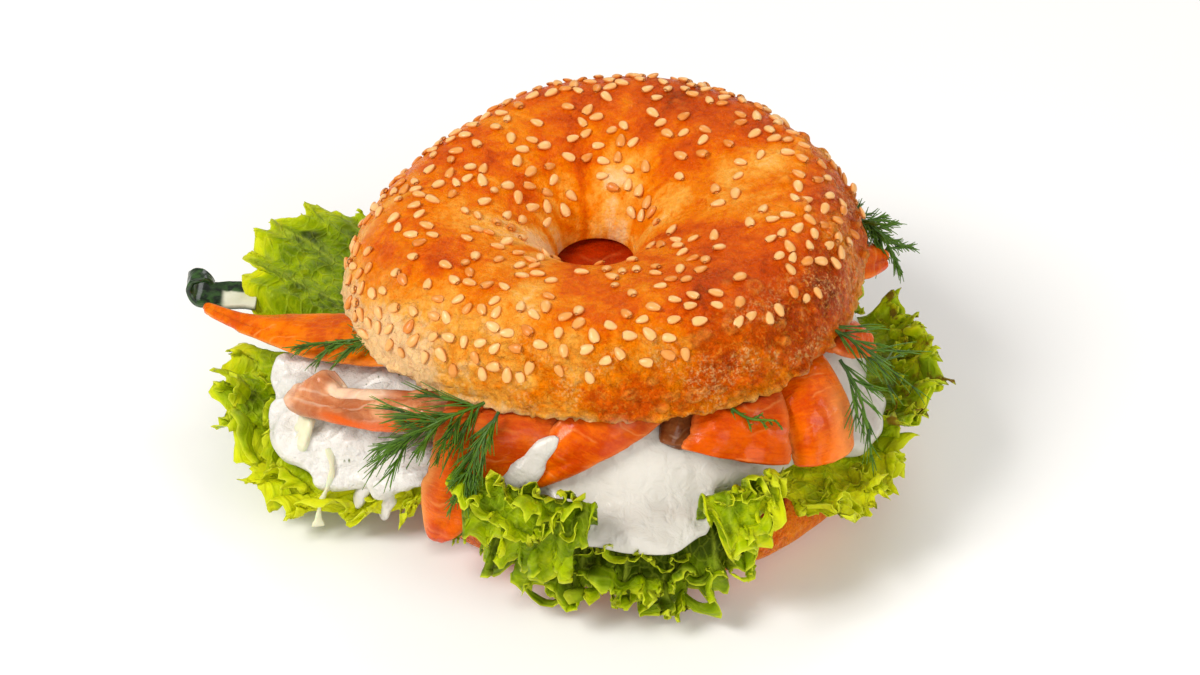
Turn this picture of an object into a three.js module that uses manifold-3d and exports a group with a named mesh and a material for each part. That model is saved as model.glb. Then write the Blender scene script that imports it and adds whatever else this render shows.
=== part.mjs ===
// A sesame bagel sandwich: two bagel halves with lettuce, herb cream cheese, smoked salmon,
// dill, a cucumber ribbon and a cabbage shred between them.
// Millimetres, +Z up. The bottom half rests on z = 0, and all places are measured from its axis
// until the whole is moved so that the origin is under the middle of its bounding box.
import * as THREE from "three";
import { mergeVertices } from "three/addons/utils/BufferGeometryUtils.js";
import Module from "manifold-3d";

const wasm = await Module();
wasm.setup();

// ---- driving dimensions ----
const DEG = Math.PI / 180;
const BAGEL_RADIUS = 53.8;
const CREST_RADIUS = 37.8; // ring along the highest line of the top half
const HOLE_RADIUS = 8.5; // at the cut face of the top half
const HOLE_SHIFT = -3.9; // the hole sits left of the middle
const TOP_HEIGHT = 17.9;
const TOP_CENTRE = new THREE.Vector3(-3.5, 7.4, 42); // middle of the top half's cut face
const TOP_TILT = -2.9 * DEG; // about Y: its right side is propped up
const TOP_PITCH = 1.5 * DEG; // about X: its front edge dips
const BOTTOM_HEIGHT = 18;
const BED_HEIGHT = BOTTOM_HEIGHT + 0.4; // where the filling starts
const BEND_RADIUS = 4.6; // of the filling where it turns down over the edge
const SHEET = 0.9; // thickness of a lettuce leaf
const LOWEST_LEAF = 1.1; // no leaf touches what the bagel rests on
const SLICE = 2.1; // thickness of a salmon slice
const GAP = 0.35; // air between neighbours that would touch
const SEED_COUNT = 42;
const SEED_LENGTH = 3.2;
const SEED_WIDTH = 2.0;
const SEED_HEIGHT = 1.0;
const SEED_SPACING = 2.8;

// ---- small tools ----
const mix = (a, b, t) => a + (b - a) * t;
const clamp = (x, low = 0, high = 1) => Math.min(high, Math.max(low, x));
const smooth = (x) => clamp(x) ** 2 * (3 - 2 * clamp(x));
const bump = (x, width) => Math.exp(-((x / width) ** 2));
const v3 = (x, y, z) => new THREE.Vector3(x, y, z);

// A repeatable random number source, 0 to 1.
function makeRandom(seed) {
  let state = seed >>> 0;
  return () => {
    state = (state + 0x6d2b79f5) | 0;
    let t = Math.imul(state ^ (state >>> 15), 1 | state);
    t = (t + Math.imul(t ^ (t >>> 7), 61 | t)) ^ t;
    return ((t ^ (t >>> 14)) >>> 0) / 4294967296;
  };
}

// Uneven swells of about the given size: the mean of a few sine waves in random directions.
function makeSwells(seed, size, count = 6) {
  const random = makeRandom(seed);
  const waves = Array.from({ length: count }, () => {
    const turn = random() * 2 * Math.PI;
    const rise = random() * 2 - 1;
    const flat = Math.sqrt(1 - rise * rise);
    const k = (2 * Math.PI) / (size * (0.7 + 0.7 * random()));
    return [k * flat * Math.cos(turn), k * flat * Math.sin(turn), k * rise, random() * 2 * Math.PI];
  });
  return (p) => {
    const sum = waves.reduce((s, [a, b, c, d]) => s + Math.sin(a * p.x + b * p.y + c * p.z + d), 0);
    return sum / count;
  };
}

// Reads a table of [angle in degrees, value, value...] at any angle, round the full circle.
function readRound(table, azimuth) {
  const a = ((azimuth % 360) + 360) % 360;
  const next = table.findIndex((row) => row[0] > a);
  const hi = table[next < 0 ? 0 : next];
  const lo = table[next < 0 ? table.length - 1 : (next + table.length - 1) % table.length];
  const span = (hi[0] - lo[0] + 360) % 360;
  const t = smooth(((a - lo[0] + 360) % 360) / span);
  return lo.slice(1).map((x, i) => mix(x, hi[i + 1], t));
}

// Reads a list of evenly spaced values at t from 0 to 1.
function readAlong(values, t) {
  const at = clamp(t) * (values.length - 1);
  const i = Math.min(Math.floor(at), values.length - 2);
  return mix(values[i], values[i + 1], smooth(at - i));
}

function buildGeometry(points, triangles) {
  const geometry = new THREE.BufferGeometry().setFromPoints(points);
  geometry.setIndex(triangles);
  return geometry;
}

// A closed ring: pointAt(column angle, row) for rows that go round its section.
function ringGeometry(columns, rows, pointAt) {
  const points = [];
  for (let i = 0; i < columns; i++) {
    for (let j = 0; j < rows; j++) points.push(pointAt((2 * Math.PI * i) / columns, j));
  }
  const at = (i, j) => (i % columns) * rows + (j % rows);
  const triangles = [];
  for (let i = 0; i < columns; i++) {
    for (let j = 0; j < rows; j++) {
      triangles.push(at(i, j), at(i + 1, j), at(i + 1, j + 1));
      triangles.push(at(i, j), at(i + 1, j + 1), at(i, j + 1));
    }
  }
  return buildGeometry(points, triangles);
}

// A sheet with thickness: pointAt(u, v) is its middle surface, and both faces are split alike.
function sheetGeometry(columns, rows, thickness, pointAt) {
  const step = 1e-3;
  const grid = (i, j) => i * (rows + 1) + j;
  const count = (columns + 1) * (rows + 1);
  const upper = [];
  const lower = [];
  for (let i = 0; i <= columns; i++) {
    for (let j = 0; j <= rows; j++) {
      const u = i / columns;
      const v = j / rows;
      const middle = pointAt(u, v);
      const reach = 0.5 / columns;
      const along = pointAt(Math.min(1, u + reach), v).sub(pointAt(Math.max(0, u - reach), v));
      const across = pointAt(u, Math.min(1, v + step)).sub(pointAt(u, Math.max(0, v - step)));
      const normal = along.cross(across).setLength(thickness(u, v) / 2);
      upper.push(middle.clone().add(normal));
      lower.push(middle.sub(normal));
    }
  }
  const triangles = [];
  const quad = (a, b, c, d) => triangles.push(a, b, c, a, c, d);
  for (let i = 0; i < columns; i++) {
    for (let j = 0; j < rows; j++) {
      const [a, b, c, d] = [grid(i, j), grid(i + 1, j), grid(i + 1, j + 1), grid(i, j + 1)];
      quad(a, b, c, d);
      triangles.push(count + a, count + c, count + b, count + a, count + d, count + c);
    }
  }
  for (let i = 0; i < columns; i++) {
    quad(grid(i + 1, 0), grid(i, 0), count + grid(i, 0), count + grid(i + 1, 0));
    quad(grid(i, rows), grid(i + 1, rows), count + grid(i + 1, rows), count + grid(i, rows));
  }
  for (let j = 0; j < rows; j++) {
    quad(grid(0, j), grid(0, j + 1), count + grid(0, j + 1), count + grid(0, j));
    const [near, far] = [grid(columns, j), grid(columns, j + 1)];
    quad(far, near, count + near, count + far);
  }
  return buildGeometry([...upper, ...lower], triangles);
}

// ---- joining and cutting ----
function toSolid(geometry) {
  const bare = new THREE.BufferGeometry();
  bare.setAttribute("position", geometry.getAttribute("position"));
  bare.setIndex(geometry.index);
  const merged = mergeVertices(bare, 1e-4);
  const triVerts = new Uint32Array(merged.index.array);
  const vertProperties = merged.attributes.position.array;
  const make = () => new wasm.Manifold(new wasm.Mesh({ numProp: 3, vertProperties, triVerts }));
  const solid = make();
  if (solid.volume() > 0) return solid;
  for (let i = 0; i < triVerts.length; i += 3) {
    [triVerts[i + 1], triVerts[i + 2]] = [triVerts[i + 2], triVerts[i + 1]];
  }
  return make();
}

function fromSolid(solid) {
  const { vertProperties, triVerts, numProp } = solid.getMesh();
  const position = new Float32Array((vertProperties.length / numProp) * 3);
  for (let i = 0; i * numProp < vertProperties.length; i++) {
    position.set(vertProperties.subarray(i * numProp, i * numProp + 3), i * 3);
  }
  const geometry = new THREE.BufferGeometry();
  geometry.setAttribute("position", new THREE.BufferAttribute(position, 3));
  geometry.setIndex(new THREE.BufferAttribute(new Uint32Array(triVerts), 1));
  return geometry;
}

// The same solid with its skin moved outwards, to cut a neighbour clear of it.
function grown(geometry, by = GAP) {
  const solid = fromSolid(toSolid(geometry));
  solid.computeVertexNormals();
  const { position, normal } = solid.attributes;
  for (let i = 0; i < position.count; i++) {
    position.setXYZ(
      i,
      position.getX(i) + normal.getX(i) * by,
      position.getY(i) + normal.getY(i) * by,
      position.getZ(i) + normal.getZ(i) * by,
    );
  }
  return toSolid(solid);
}

function cutClear(geometry, neighbours) {
  let solid = toSolid(geometry);
  const bounds = (g) => {
    g.computeBoundingBox();
    return g.boundingBox;
  };
  const near = neighbours.filter((n) => bounds(n).intersectsBox(bounds(geometry)));
  for (const neighbour of near) {
    const cut = solid.subtract(grown(neighbour)).subtract(toSolid(neighbour));
    if (cut.numTri() > 0 && cut.volume() < solid.volume() - 1e-6) solid = cut;
  }
  const bodies = solid.decompose();
  bodies.sort((a, b) => b.volume() - a.volume());
  return fromSolid(bodies[0]);
}

// ---- bagel halves ----
const crustSwells = makeSwells(11, 26);
const crustDents = makeSwells(12, 11);

// The outline is a little out of round, as a hand-rolled ring is: [cosine, sine] of 2, 3, 4
// and 5 turns.
const OUT_OF_ROUND = [[0.011, 0.022], [-0.027, -0.032], [0.015, 0.009], [0, 0.01]];
function outOfRound(angle) {
  return OUT_OF_ROUND.reduce(
    (sum, [a, b], i) => sum + a * Math.cos((i + 2) * angle) + b * Math.sin((i + 2) * angle),
    0,
  );
}

// The join of the dough's two ends shows as a crease down the wall of the hole.
const SEAM_ANGLE = 97 * DEG;
function seamRelief(angle) {
  const off = ((angle - SEAM_ANGLE + 3 * Math.PI) % (2 * Math.PI)) - Math.PI;
  return 1.4 * bump(off + 0.42, 0.3) - 1.3 * bump(off, 0.1);
}

// A point of the top half's crust: turn runs from 0 at the outer cut edge to pi at the hole.
function crustPoint(angle, turn) {
  const c = Math.cos(turn);
  const s = Math.max(0, Math.sin(turn));
  const outside = c > 0;
  const width = outside ? BAGEL_RADIUS - CREST_RADIUS : CREST_RADIUS - HOLE_RADIUS;
  let radius = CREST_RADIUS + width * c;
  radius *= outside ? 1 + outOfRound(angle) * c : 1;
  const height = TOP_HEIGHT * (1 + 0.048 * Math.sin(angle) - 0.014 * Math.cos(2 * angle));
  const p = v3(radius * Math.cos(angle), radius * Math.sin(angle), height * s ** 1.04);
  p.x += HOLE_SHIFT * Math.max(0, -c);
  const relief = (0.8 * crustSwells(p) + 0.3 * crustDents(p)) * s;
  const inward = outside ? 0 : seamRelief(angle) * s ** 0.5 * -c;
  const out = relief * c - inward;
  p.x += out * Math.cos(angle);
  p.y += out * Math.sin(angle);
  p.z += relief * s;
  return p;
}

function crustFrame(angle, turn) {
  const step = 0.02;
  const p = crustPoint(angle, turn);
  const east = crustPoint(angle + step, turn).sub(crustPoint(angle - step, turn)).normalize();
  const down = crustPoint(angle, turn - step).sub(crustPoint(angle, turn + step)).normalize();
  const normal = down.clone().cross(east).normalize();
  return { p, east, normal };
}

const seedDrift = makeSwells(13, 20);

// How thickly the crust is strewn: most on the crest and the left, none low at the front.
function seedDensity(p, angle, turn) {
  const height = Math.sin(turn);
  const front = bump(((angle / DEG + 60 + 540) % 360) - 180, 62);
  const lowest = mix(0.1, 0.62, front);
  const inside = turn > Math.PI / 2 ? 0.55 : 1;
  const drift = clamp(0.6 + 1.3 * seedDrift(p), 0.1, 1);
  return smooth((height - lowest) / 0.25) * inside * (1 - 0.35 * front) * drift;
}

function seedSpots(count) {
  const random = makeRandom(2024);
  const spots = [];
  while (spots.length < count) {
    const angle = random() * 2 * Math.PI;
    const turn = mix(0.1, 2.75, random());
    const luck = random();
    const spin = random() * 2 * Math.PI;
    const size = mix(0.86, 1.1, random());
    const frame = crustFrame(angle, turn);
    const radius = Math.hypot(frame.p.x, frame.p.y);
    if (luck > (seedDensity(frame.p, angle, turn) * radius) / BAGEL_RADIUS) continue;
    if (spots.some((s) => s.frame.p.distanceTo(frame.p) < SEED_SPACING)) continue;
    spots.push({ frame, spin, size });
  }
  return spots;
}

// A six-sided teardrop, its lower half sunk in the crust.
function seedGeometry({ frame, spin, size }) {
  const outline = [0, 1, 2, 3, 4, 5].map((k) => {
    const a = (k * Math.PI) / 3;
    const narrow = 1 - 0.28 * Math.cos(a);
    return [(Math.cos(a) * SEED_LENGTH * size) / 2, (Math.sin(a) * SEED_WIDTH * size * narrow) / 2];
  });
  const along = frame.east.clone().applyAxisAngle(frame.normal, spin);
  const across = frame.normal.clone().cross(along);
  const place = (x, y, z) => {
    const p = frame.p.clone().addScaledVector(along, x).addScaledVector(across, y);
    return p.addScaledVector(frame.normal, z);
  };
  const rise = SEED_HEIGHT * size;
  const points = [
    ...outline.map(([x, y]) => place(x, y, -0.5 * rise)),
    ...outline.map(([x, y]) => place(x * 0.6, y * 0.6, 0.62 * rise)),
  ];
  const triangles = [6, 7, 8, 6, 8, 9, 6, 9, 10, 6, 10, 11, 2, 1, 0, 3, 2, 0, 4, 3, 0, 5, 4, 0];
  for (let k = 0; k < 6; k++) {
    const n = (k + 1) % 6;
    triangles.push(k, n, 6 + n, k, 6 + n, 6 + k);
  }
  return buildGeometry(points, triangles);
}

function bagelTop() {
  const rows = 12;
  const turnAt = (row) => (Math.PI * row) / (rows - 1);
  const crust = ringGeometry(48, rows, (angle, row) => crustPoint(angle, turnAt(row)));
  const seeds = seedSpots(SEED_COUNT).map((spot) => toSolid(seedGeometry(spot)));
  return fromSolid(seeds.reduce((all, seed) => all.add(seed), toSolid(crust)));
}

// Section of the bottom half, from the underside round the outside to the cut face and the hole.
const BOTTOM_SECTION = [
  [12.5, 0],
  [42, 0],
  [49.5, 2.2],
  [53.4, 5.8],
  [54.2, 10],
  [53, 14],
  [50.6, 17],
  [47.5, BOTTOM_HEIGHT],
  [14, BOTTOM_HEIGHT],
  [11, 14],
  [10.5, 6],
];

function bagelBottom() {
  const profile = BOTTOM_SECTION.map(([r, z]) => new THREE.Vector2(r, z));
  profile.push(profile[0].clone());
  const geometry = new THREE.LatheGeometry(profile, 44).rotateX(Math.PI / 2);
  const position = geometry.attributes.position;
  for (let i = 0; i < position.count; i++) {
    const p = v3().fromBufferAttribute(position, i);
    const side = smooth((Math.hypot(p.x, p.y) - 40) / 12) * smooth(p.z / 4);
    const push = 1 + (0.5 * crustSwells(p) * side) / BAGEL_RADIUS;
    position.setXY(i, p.x * push, p.y * push);
  }
  geometry.deleteAttribute("normal");
  geometry.deleteAttribute("uv");
  return geometry;
}

// ---- the bed that the filling follows ----
// [azimuth, radius where it starts to turn down, final slope in degrees]
const BED = [
  [17, 51, -10],
  [22, 51, 8],
  [60, 51, 14],
  [110, 51, 14],
  [137, 50, 4],
  [143, 46, -13],
  [168, 46, -13],
  [174, 51, 2],
  [184, 53, 5],
  [190, 53, 10],
  [195, 53, 18],
  [200, 53, 24],
  [206, 52.5, 35],
  [212, 51.5, 55],
  [220, 50.5, 74],
  [232, 50.5, 84],
  [296, 50.5, 84],
  [306, 51, 60],
  [318, 51, 14],
  [333, 51, 4],
  [338, 51, -10],
];

// s is the way along the bed from the axis, n the height above it, square to it.
function alongBed(azimuth, s, n, bend = readRound(BED, azimuth)) {
  const [start, slope] = bend;
  const sense = Math.sign(slope);
  const beta = Math.abs(slope) * DEG;
  const turn = clamp((s - start) / BEND_RADIUS, 0, beta);
  const past = Math.max(0, s - start - BEND_RADIUS * beta);
  const lean = Math.sin(sense * turn);
  const onBed = Math.min(s, start) + BEND_RADIUS * Math.sin(turn) + past * Math.cos(beta);
  const radius = onBed + n * lean;
  const drop = BEND_RADIUS * (1 - Math.cos(turn)) + past * Math.sin(beta);
  const z = BED_HEIGHT - sense * drop + n * Math.cos(turn);
  return v3(radius * Math.cos(azimuth * DEG), radius * Math.sin(azimuth * DEG), z);
}

// ---- cream cheese ----
// [azimuth, how far out it reaches along the bed, thickness near its rim]
const CREAM_REACH = [
  [0, 50, 8],
  [120, 50, 8],
  [160, 51, 8],
  [172, 63, 6],
  [180, 71, 7],
  [187, 77, 8.5],
  [196, 77, 8],
  [205, 72, 6],
  [213, 62, 4],
  [221, 55, 4],
  [230, 50, 7],
  [250, 50, 7],
  [256, 52.5, 4],
  [262, 54.5, 2.6],
  [270, 55.5, 2.4],
  [278, 56, 2.4],
  [285, 54.5, 3],
  [291, 50, 7],
  [318, 50, 7],
  [327, 57, 6],
  [341, 58, 6],
  [349, 51, 7],
];
const CREAM_HOLE = 13;
const CREAM_BOTTOM = 2; // above the bed, over a leaf
const CREAM_UNDER_BUN = 5.2; // room for the salmon between the cream and the top half
const creamLumps = makeSwells(21, 15);

// The height of the top half's cut face.
function bunPlane(x, y) {
  const rise = Math.tan(-TOP_TILT) * (x - TOP_CENTRE.x) + Math.tan(TOP_PITCH) * (y - TOP_CENTRE.y);
  return TOP_CENTRE.z + rise;
}

function creamPoint(angle, turn) {
  const azimuth = angle / DEG;
  const [reach, rim] = readRound(CREAM_REACH, azimuth);
  const squircle = (x) => Math.sign(x) * Math.abs(x) ** 0.62;
  const across = squircle(Math.cos(turn));
  const s = mix(CREAM_HOLE, reach, (across + 1) / 2);
  const ceiling = bunPlane(s * Math.cos(angle), s * Math.sin(angle)) - CREAM_UNDER_BUN;
  const full = ceiling - BED_HEIGHT - CREAM_BOTTOM;
  const falling = smooth((s - 39) / Math.max(13, reach - 52));
  const thick = mix(full, rim, falling);
  const level = (squircle(Math.sin(turn)) + 1) / 2;
  const p = alongBed(azimuth, s, CREAM_BOTTOM + thick * level);
  const upper = smooth((Math.sin(turn) + 0.2) / 0.6) * smooth((s - 40) / 10);
  return alongBed(azimuth, s, CREAM_BOTTOM + thick * level + 1.2 * creamLumps(p) * upper);
}

function creamCheese() {
  const rows = 8;
  return ringGeometry(42, rows, (angle, row) => creamPoint(angle, (-2 * Math.PI * row) / rows));
}

// ---- lettuce ----
// azimuth: from, to. reach: how far out along the bed. margin: the width that is ruffled.
// bend replaces the bed's own. lift is its height above the bed.
// A leaf that curls over follows its own section, curl, of [radius, height] points instead: its
// reach is then the share of that section.
const LEAVES = {
  lettuce_front: {
    azimuth: [229, 297],
    reach: [57.5, 60, 61.5, 65, 67.5, 65, 63.5, 66.5, 67.5, 66.5, 62.5, 57.5],
    margin: 11,
    ruffle: 2.2,
    waves: 8,
    lift: 0.9,
    inner: 42,
    size: [36, 4],
    seed: 31,
  },
  lettuce_front_left: {
    azimuth: [234, 263],
    reach: [0.62, 0.8, 0.86, 1, 0.98, 0.9, 0.62],
    curl: [[48, 20.4], [52.6, 21.4], [54.6, 27], [57, 30.2], [59.8, 28], [61.4, 22], [61.6, 14.6]],
    margin: 11,
    ruffle: 1.5,
    waves: 4.5,
    lift: 0,
    size: [18, 5],
    seed: 32,
  },
  lettuce_front_right: {
    azimuth: [284, 304],
    reach: [0.62, 0.95, 1, 0.85, 0.66, 0.46],
    curl: [[48, 20.4], [52.6, 21.4], [54.6, 27], [57, 30.2], [59.8, 28], [61.2, 23], [61.2, 17.6]],
    margin: 11,
    ruffle: 1.5,
    waves: 3.5,
    lift: 0,
    size: [15, 5],
    seed: 33,
  },
  lettuce_right_front: {
    azimuth: [307, 336],
    reach: [58, 65, 66, 66, 65, 62],
    margin: 9,
    ruffle: 2.4,
    waves: 3.5,
    lift: 0.8,
    inner: 42,
    bend: [51, 16],
    size: [16, 4],
    seed: 34,
  },
  lettuce_right: {
    azimuth: [334, 379],
    reach: [61, 66, 67, 65.5, 65, 62],
    margin: 9,
    ruffle: 2.2,
    waves: 4.5,
    lift: 0.8,
    inner: 40,
    size: [20, 4],
    seed: 35,
  },
  lettuce_left: {
    azimuth: [175, 222],
    reach: [86, 88, 88, 86, 86, 82, 73, 66, 62],
    margin: 9,
    ruffle: 1.8,
    waves: 6.5,
    lift: 0.8,
    inner: 42,
    size: [28, 4],
    seed: 36,
  },
  lettuce_back_left: {
    azimuth: [142, 172.5],
    reach: [79, 89, 93, 92, 88.5, 86],
    margin: 22,
    ruffle: 0.8,
    waves: 3.5,
    lift: 0.8,
    inner: 38,
    size: [16, 5],
    seed: 37,
  },
  lettuce_back: {
    azimuth: [21, 139],
    reach: [58, 62, 60, 64, 61, 63, 58],
    margin: 9,
    ruffle: 2.2,
    waves: 9,
    lift: 0.8,
    inner: 40,
    size: [32, 3],
    seed: 38,
  },
};

// Ruffles: waves across the leaf that grow towards its free edge, with a small one on each.
function leafPoint(leaf, u, v) {
  const [from, to] = leaf.azimuth;
  const random = makeRandom(leaf.seed);
  const [phase, second] = [random() * 2 * Math.PI, random() * 2 * Math.PI];
  const section = leaf.curl && sectionCurve(leaf.curl);
  const length = section ? section.getLength() : 1;
  const reach = readAlong(leaf.reach, u) * length;
  const s = mix(leaf.inner ?? 0, reach, v);
  const free = smooth((s - reach + leaf.margin) / leaf.margin);
  const beat = 2 * Math.PI * leaf.waves * u + phase;
  const height = leaf.ruffle * free * (Math.sin(beat) + 0.25 * Math.sin(2.3 * beat + second));
  const sway = 0.35 * leaf.ruffle * free * Math.sin(2 * beat);
  const azimuth = mix(from, to, u) + sway / BAGEL_RADIUS / DEG;
  const outward = s + 1.2 * free * Math.cos(1.7 * beat);
  const above = leaf.lift + height + 1.25 * leaf.ruffle * free;
  const p = section
    ? alongSection(section, azimuth, outward / length, above)
    : alongBed(azimuth, outward, above, leaf.bend);
  p.z = Math.max(p.z, LOWEST_LEAF);
  return p;
}

function sectionCurve(points) {
  return new THREE.SplineCurve(points.map(([r, z]) => new THREE.Vector2(r, z)));
}

// t is the share of the section, n the way out from it, square to it.
function alongSection(section, azimuth, t, n) {
  const p = section.getPointAt(clamp(t));
  const ahead = section.getTangentAt(clamp(t));
  p.addScaledVector(ahead, (t - clamp(t)) * section.getLength());
  const [radius, z] = [p.x - n * ahead.y, p.y + n * ahead.x];
  return v3(radius * Math.cos(azimuth * DEG), radius * Math.sin(azimuth * DEG), z);
}

function lettuceLeaf(leaf) {
  // Rows crowd towards the free edge, where the ruffles are.
  const crowd = (v) => 1 - (1 - v) ** 1.25;
  return sheetGeometry(...leaf.size, () => SHEET, (u, v) => leafPoint(leaf, u, crowd(v)));
}

// ---- smoked salmon ----
// Each slice lies between two edges, from under the top half outwards. arch domes it.
const SLICES = {
  salmon_left_tongue: {
    one: [
      [-32, -2, 38.5], [-48, -8, 37], [-60.5, -1, 34.5],
      [-73, 4, 30.5], [-83.5, 7, 28], [-93, 12.5, 26.5],
    ],
    two: [
      [-30, -16, 38.5], [-42, -21, 37], [-55.5, -17.5, 33.5],
      [-69.5, -8.5, 29], [-82.5, 1.5, 27], [-92.5, 10.5, 26],
    ],
    arch: 0.6,
    size: [4, 9],
  },
  salmon_left_roll: {
    one: [
      [-34, -26, 36], [-39.5, -28.5, 35.5], [-47.5, -27, 34.5],
      [-58.5, -22.5, 31.5], [-69.5, -17, 29],
    ],
    two: [[-34, -34, 34.5], [-39.5, -38, 34], [-47, -36.5, 31.5], [-59, -29.5, 27.5], [-73, -21.5, 25.5]],
    arch: 1.6,
    size: [5, 7],
  },
  salmon_front_drape: {
    one: [
      [-25, -22, 39.5], [-36, -34.5, 39], [-38.5, -40.5, 37],
      [-40, -44.5, 31], [-42, -45.5, 23], [-41.5, -46, 10.5],
    ],
    two: [
      [-8, -24, 40], [-12, -35, 39.5], [-14.5, -42.5, 36],
      [-19.5, -45, 31], [-25.5, -47.5, 25], [-36, -48.5, 13],
    ],
    arch: 0.8,
    size: [4, 8],
  },
  salmon_front: {
    one: [[4, -22, 41], [-5, -33, 40.5], [-13.5, -41, 39], [-20.5, -43.5, 32], [-28, -44, 26.5]],
    two: [
      [14, -24, 41.5], [7.5, -40.5, 39.5], [-1.5, -44.5, 34],
      [-12.5, -47, 28.5], [-24.5, -47.5, 24.5],
    ],
    arch: 1,
    size: [4, 8],
  },
  salmon_dark_scrap: {
    one: [[7, -30, 38], [6, -37, 37.5], [5.5, -43.5, 34.5]],
    two: [[14, -30, 38], [13.5, -37, 38], [12.5, -44, 33]],
    arch: 0.4,
    size: [3, 5],
  },
  salmon_front_right: {
    one: [[14, -24, 41.5], [13, -38, 40.5], [11.5, -43.5, 37.5], [9.5, -46, 34.5]],
    two: [[27, -20, 42], [30, -35, 41], [31.5, -42, 36], [31.5, -45.5, 29.5]],
    arch: 1.2,
    size: [5, 6],
  },
  salmon_right_fold: {
    one: [[25, -18, 39], [27.5, -34, 38.5], [30.5, -39.5, 35.5], [32.5, -43.5, 27]],
    two: [[34, -14, 40], [41, -27.5, 40.5], [44, -32.5, 36], [45.5, -38.5, 27.5]],
    arch: 1.4,
    size: [4, 7],
  },
  salmon_right: {
    one: [[32, -6, 42.5], [42, -13.5, 43], [46.5, -11.5, 40.5], [49.5, -12.5, 37.5]],
    two: [[32, -16, 42.5], [40.5, -23.5, 42.5], [45, -22.5, 39.5], [50, -17.5, 36]],
    arch: 0.5,
    size: [3, 6],
  },
  salmon_right_back: {
    one: [[34, 14, 42.5], [46, 14, 43], [51.5, 14.5, 42], [55.5, 12.5, 40]],
    two: [[34, 2, 42.5], [44.5, 0.5, 43], [50, 2, 41.5], [54.5, 8, 39.5]],
    arch: 0.4,
    size: [3, 6],
  },
  salmon_middle: {
    one: [
      [-14, -6, 39], [-17, 8, 39], [-20, 30, 39],
      [-24, 50, 38.5], [-25, 58, 35], [-25, 61, 30],
    ],
    two: [
      [14, -6, 40.5], [15, 8, 40.5], [16, 30, 40.5],
      [12, 50, 40], [10, 59, 36.5], [9, 62.5, 31],
    ],
    arch: 0.5,
    size: [5, 8],
  },
};

const alongCurve = (points) => new THREE.CatmullRomCurve3(points.map((p) => v3(...p)));

// How high the middle of a slice may go: under the top half's cut face, and free past its edge.
function sliceCeiling(p) {
  const past = Math.hypot(p.x - TOP_CENTRE.x, p.y - TOP_CENTRE.y) - BAGEL_RADIUS;
  return bunPlane(p.x, p.y) - 0.6 * SLICE - GAP + 3 * Math.max(0, past);
}

function salmonSlice({ one, two, arch, size }) {
  const [first, second] = [alongCurve(one), alongCurve(two)];
  const dome = (x) => Math.sqrt(Math.max(0, 4 * x * (1 - x)));
  const pointAt = (u, v) => {
    const a = first.getPoint(v);
    const b = second.getPoint(v);
    const on = v > 0.98 ? -0.02 : 0.02;
    const ahead = first.getPoint(v + on).sub(a).multiplyScalar(Math.sign(on));
    const up = ahead.cross(b.clone().sub(a)).normalize();
    if (up.z < 0) up.negate();
    const wave = 0.35 * Math.sin(9 * u + 7 * v) * dome(u);
    const p = a.lerp(b, u).addScaledVector(up, (arch * dome(u) ** 2 + wave) * smooth(v * 3));
    p.z = Math.min(p.z, sliceCeiling(p));
    return p;
  };
  const thickness = (u, v) => SLICE * (0.35 + 0.65 * dome(u)) * (v > 0.99 ? 0.5 : 1);
  return sheetGeometry(...size, thickness, pointAt);
}

// ---- cucumber and cabbage ----
// A ribbon cut lengthways: it lies flat from its inner end and curls up at the outer one.
const RIBBON = { inner: v3(-82, 12.8, 25.6), flat: 12, curl: 2.7, turn: 4.4, width: 7.6 };
function cucumberRibbon() {
  const { inner, flat, curl, turn: mostTurn, width } = RIBBON;
  const length = flat + curl * mostTurn;
  return sheetGeometry(16, 2, () => 1.5, (u, v) => {
    const run = u * length;
    const turn = clamp((run - flat) / curl, 0, mostTurn);
    const out = Math.min(run, flat) + curl * Math.sin(turn);
    const narrow = mix(1, 0.6, smooth(turn / 1.5));
    const back = width * (0.5 + (0.5 - v) * narrow);
    return inner.clone().add(v3(-out, 0.05 * out + back, 0.08 * back + curl * (1 - Math.cos(turn))));
  });
}

const SHRED_PATH = [[-62.5, -28, 20], [-62.5, -31.5, 15], [-63.5, -34, 10.5], [-65.5, -35.5, 5]];
function cabbageShred() {
  const path = alongCurve(SHRED_PATH);
  return sheetGeometry(8, 1, () => 1, (u, v) => {
    const p = path.getPoint(u);
    const width = mix(1.2, 1.6, u) * (u > 0.97 ? 1.6 : 1);
    return p.add(v3(width * (v - 0.5), 0.4 * (v - 0.5), 0.3 * Math.sin(9 * u)));
  });
}

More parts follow.
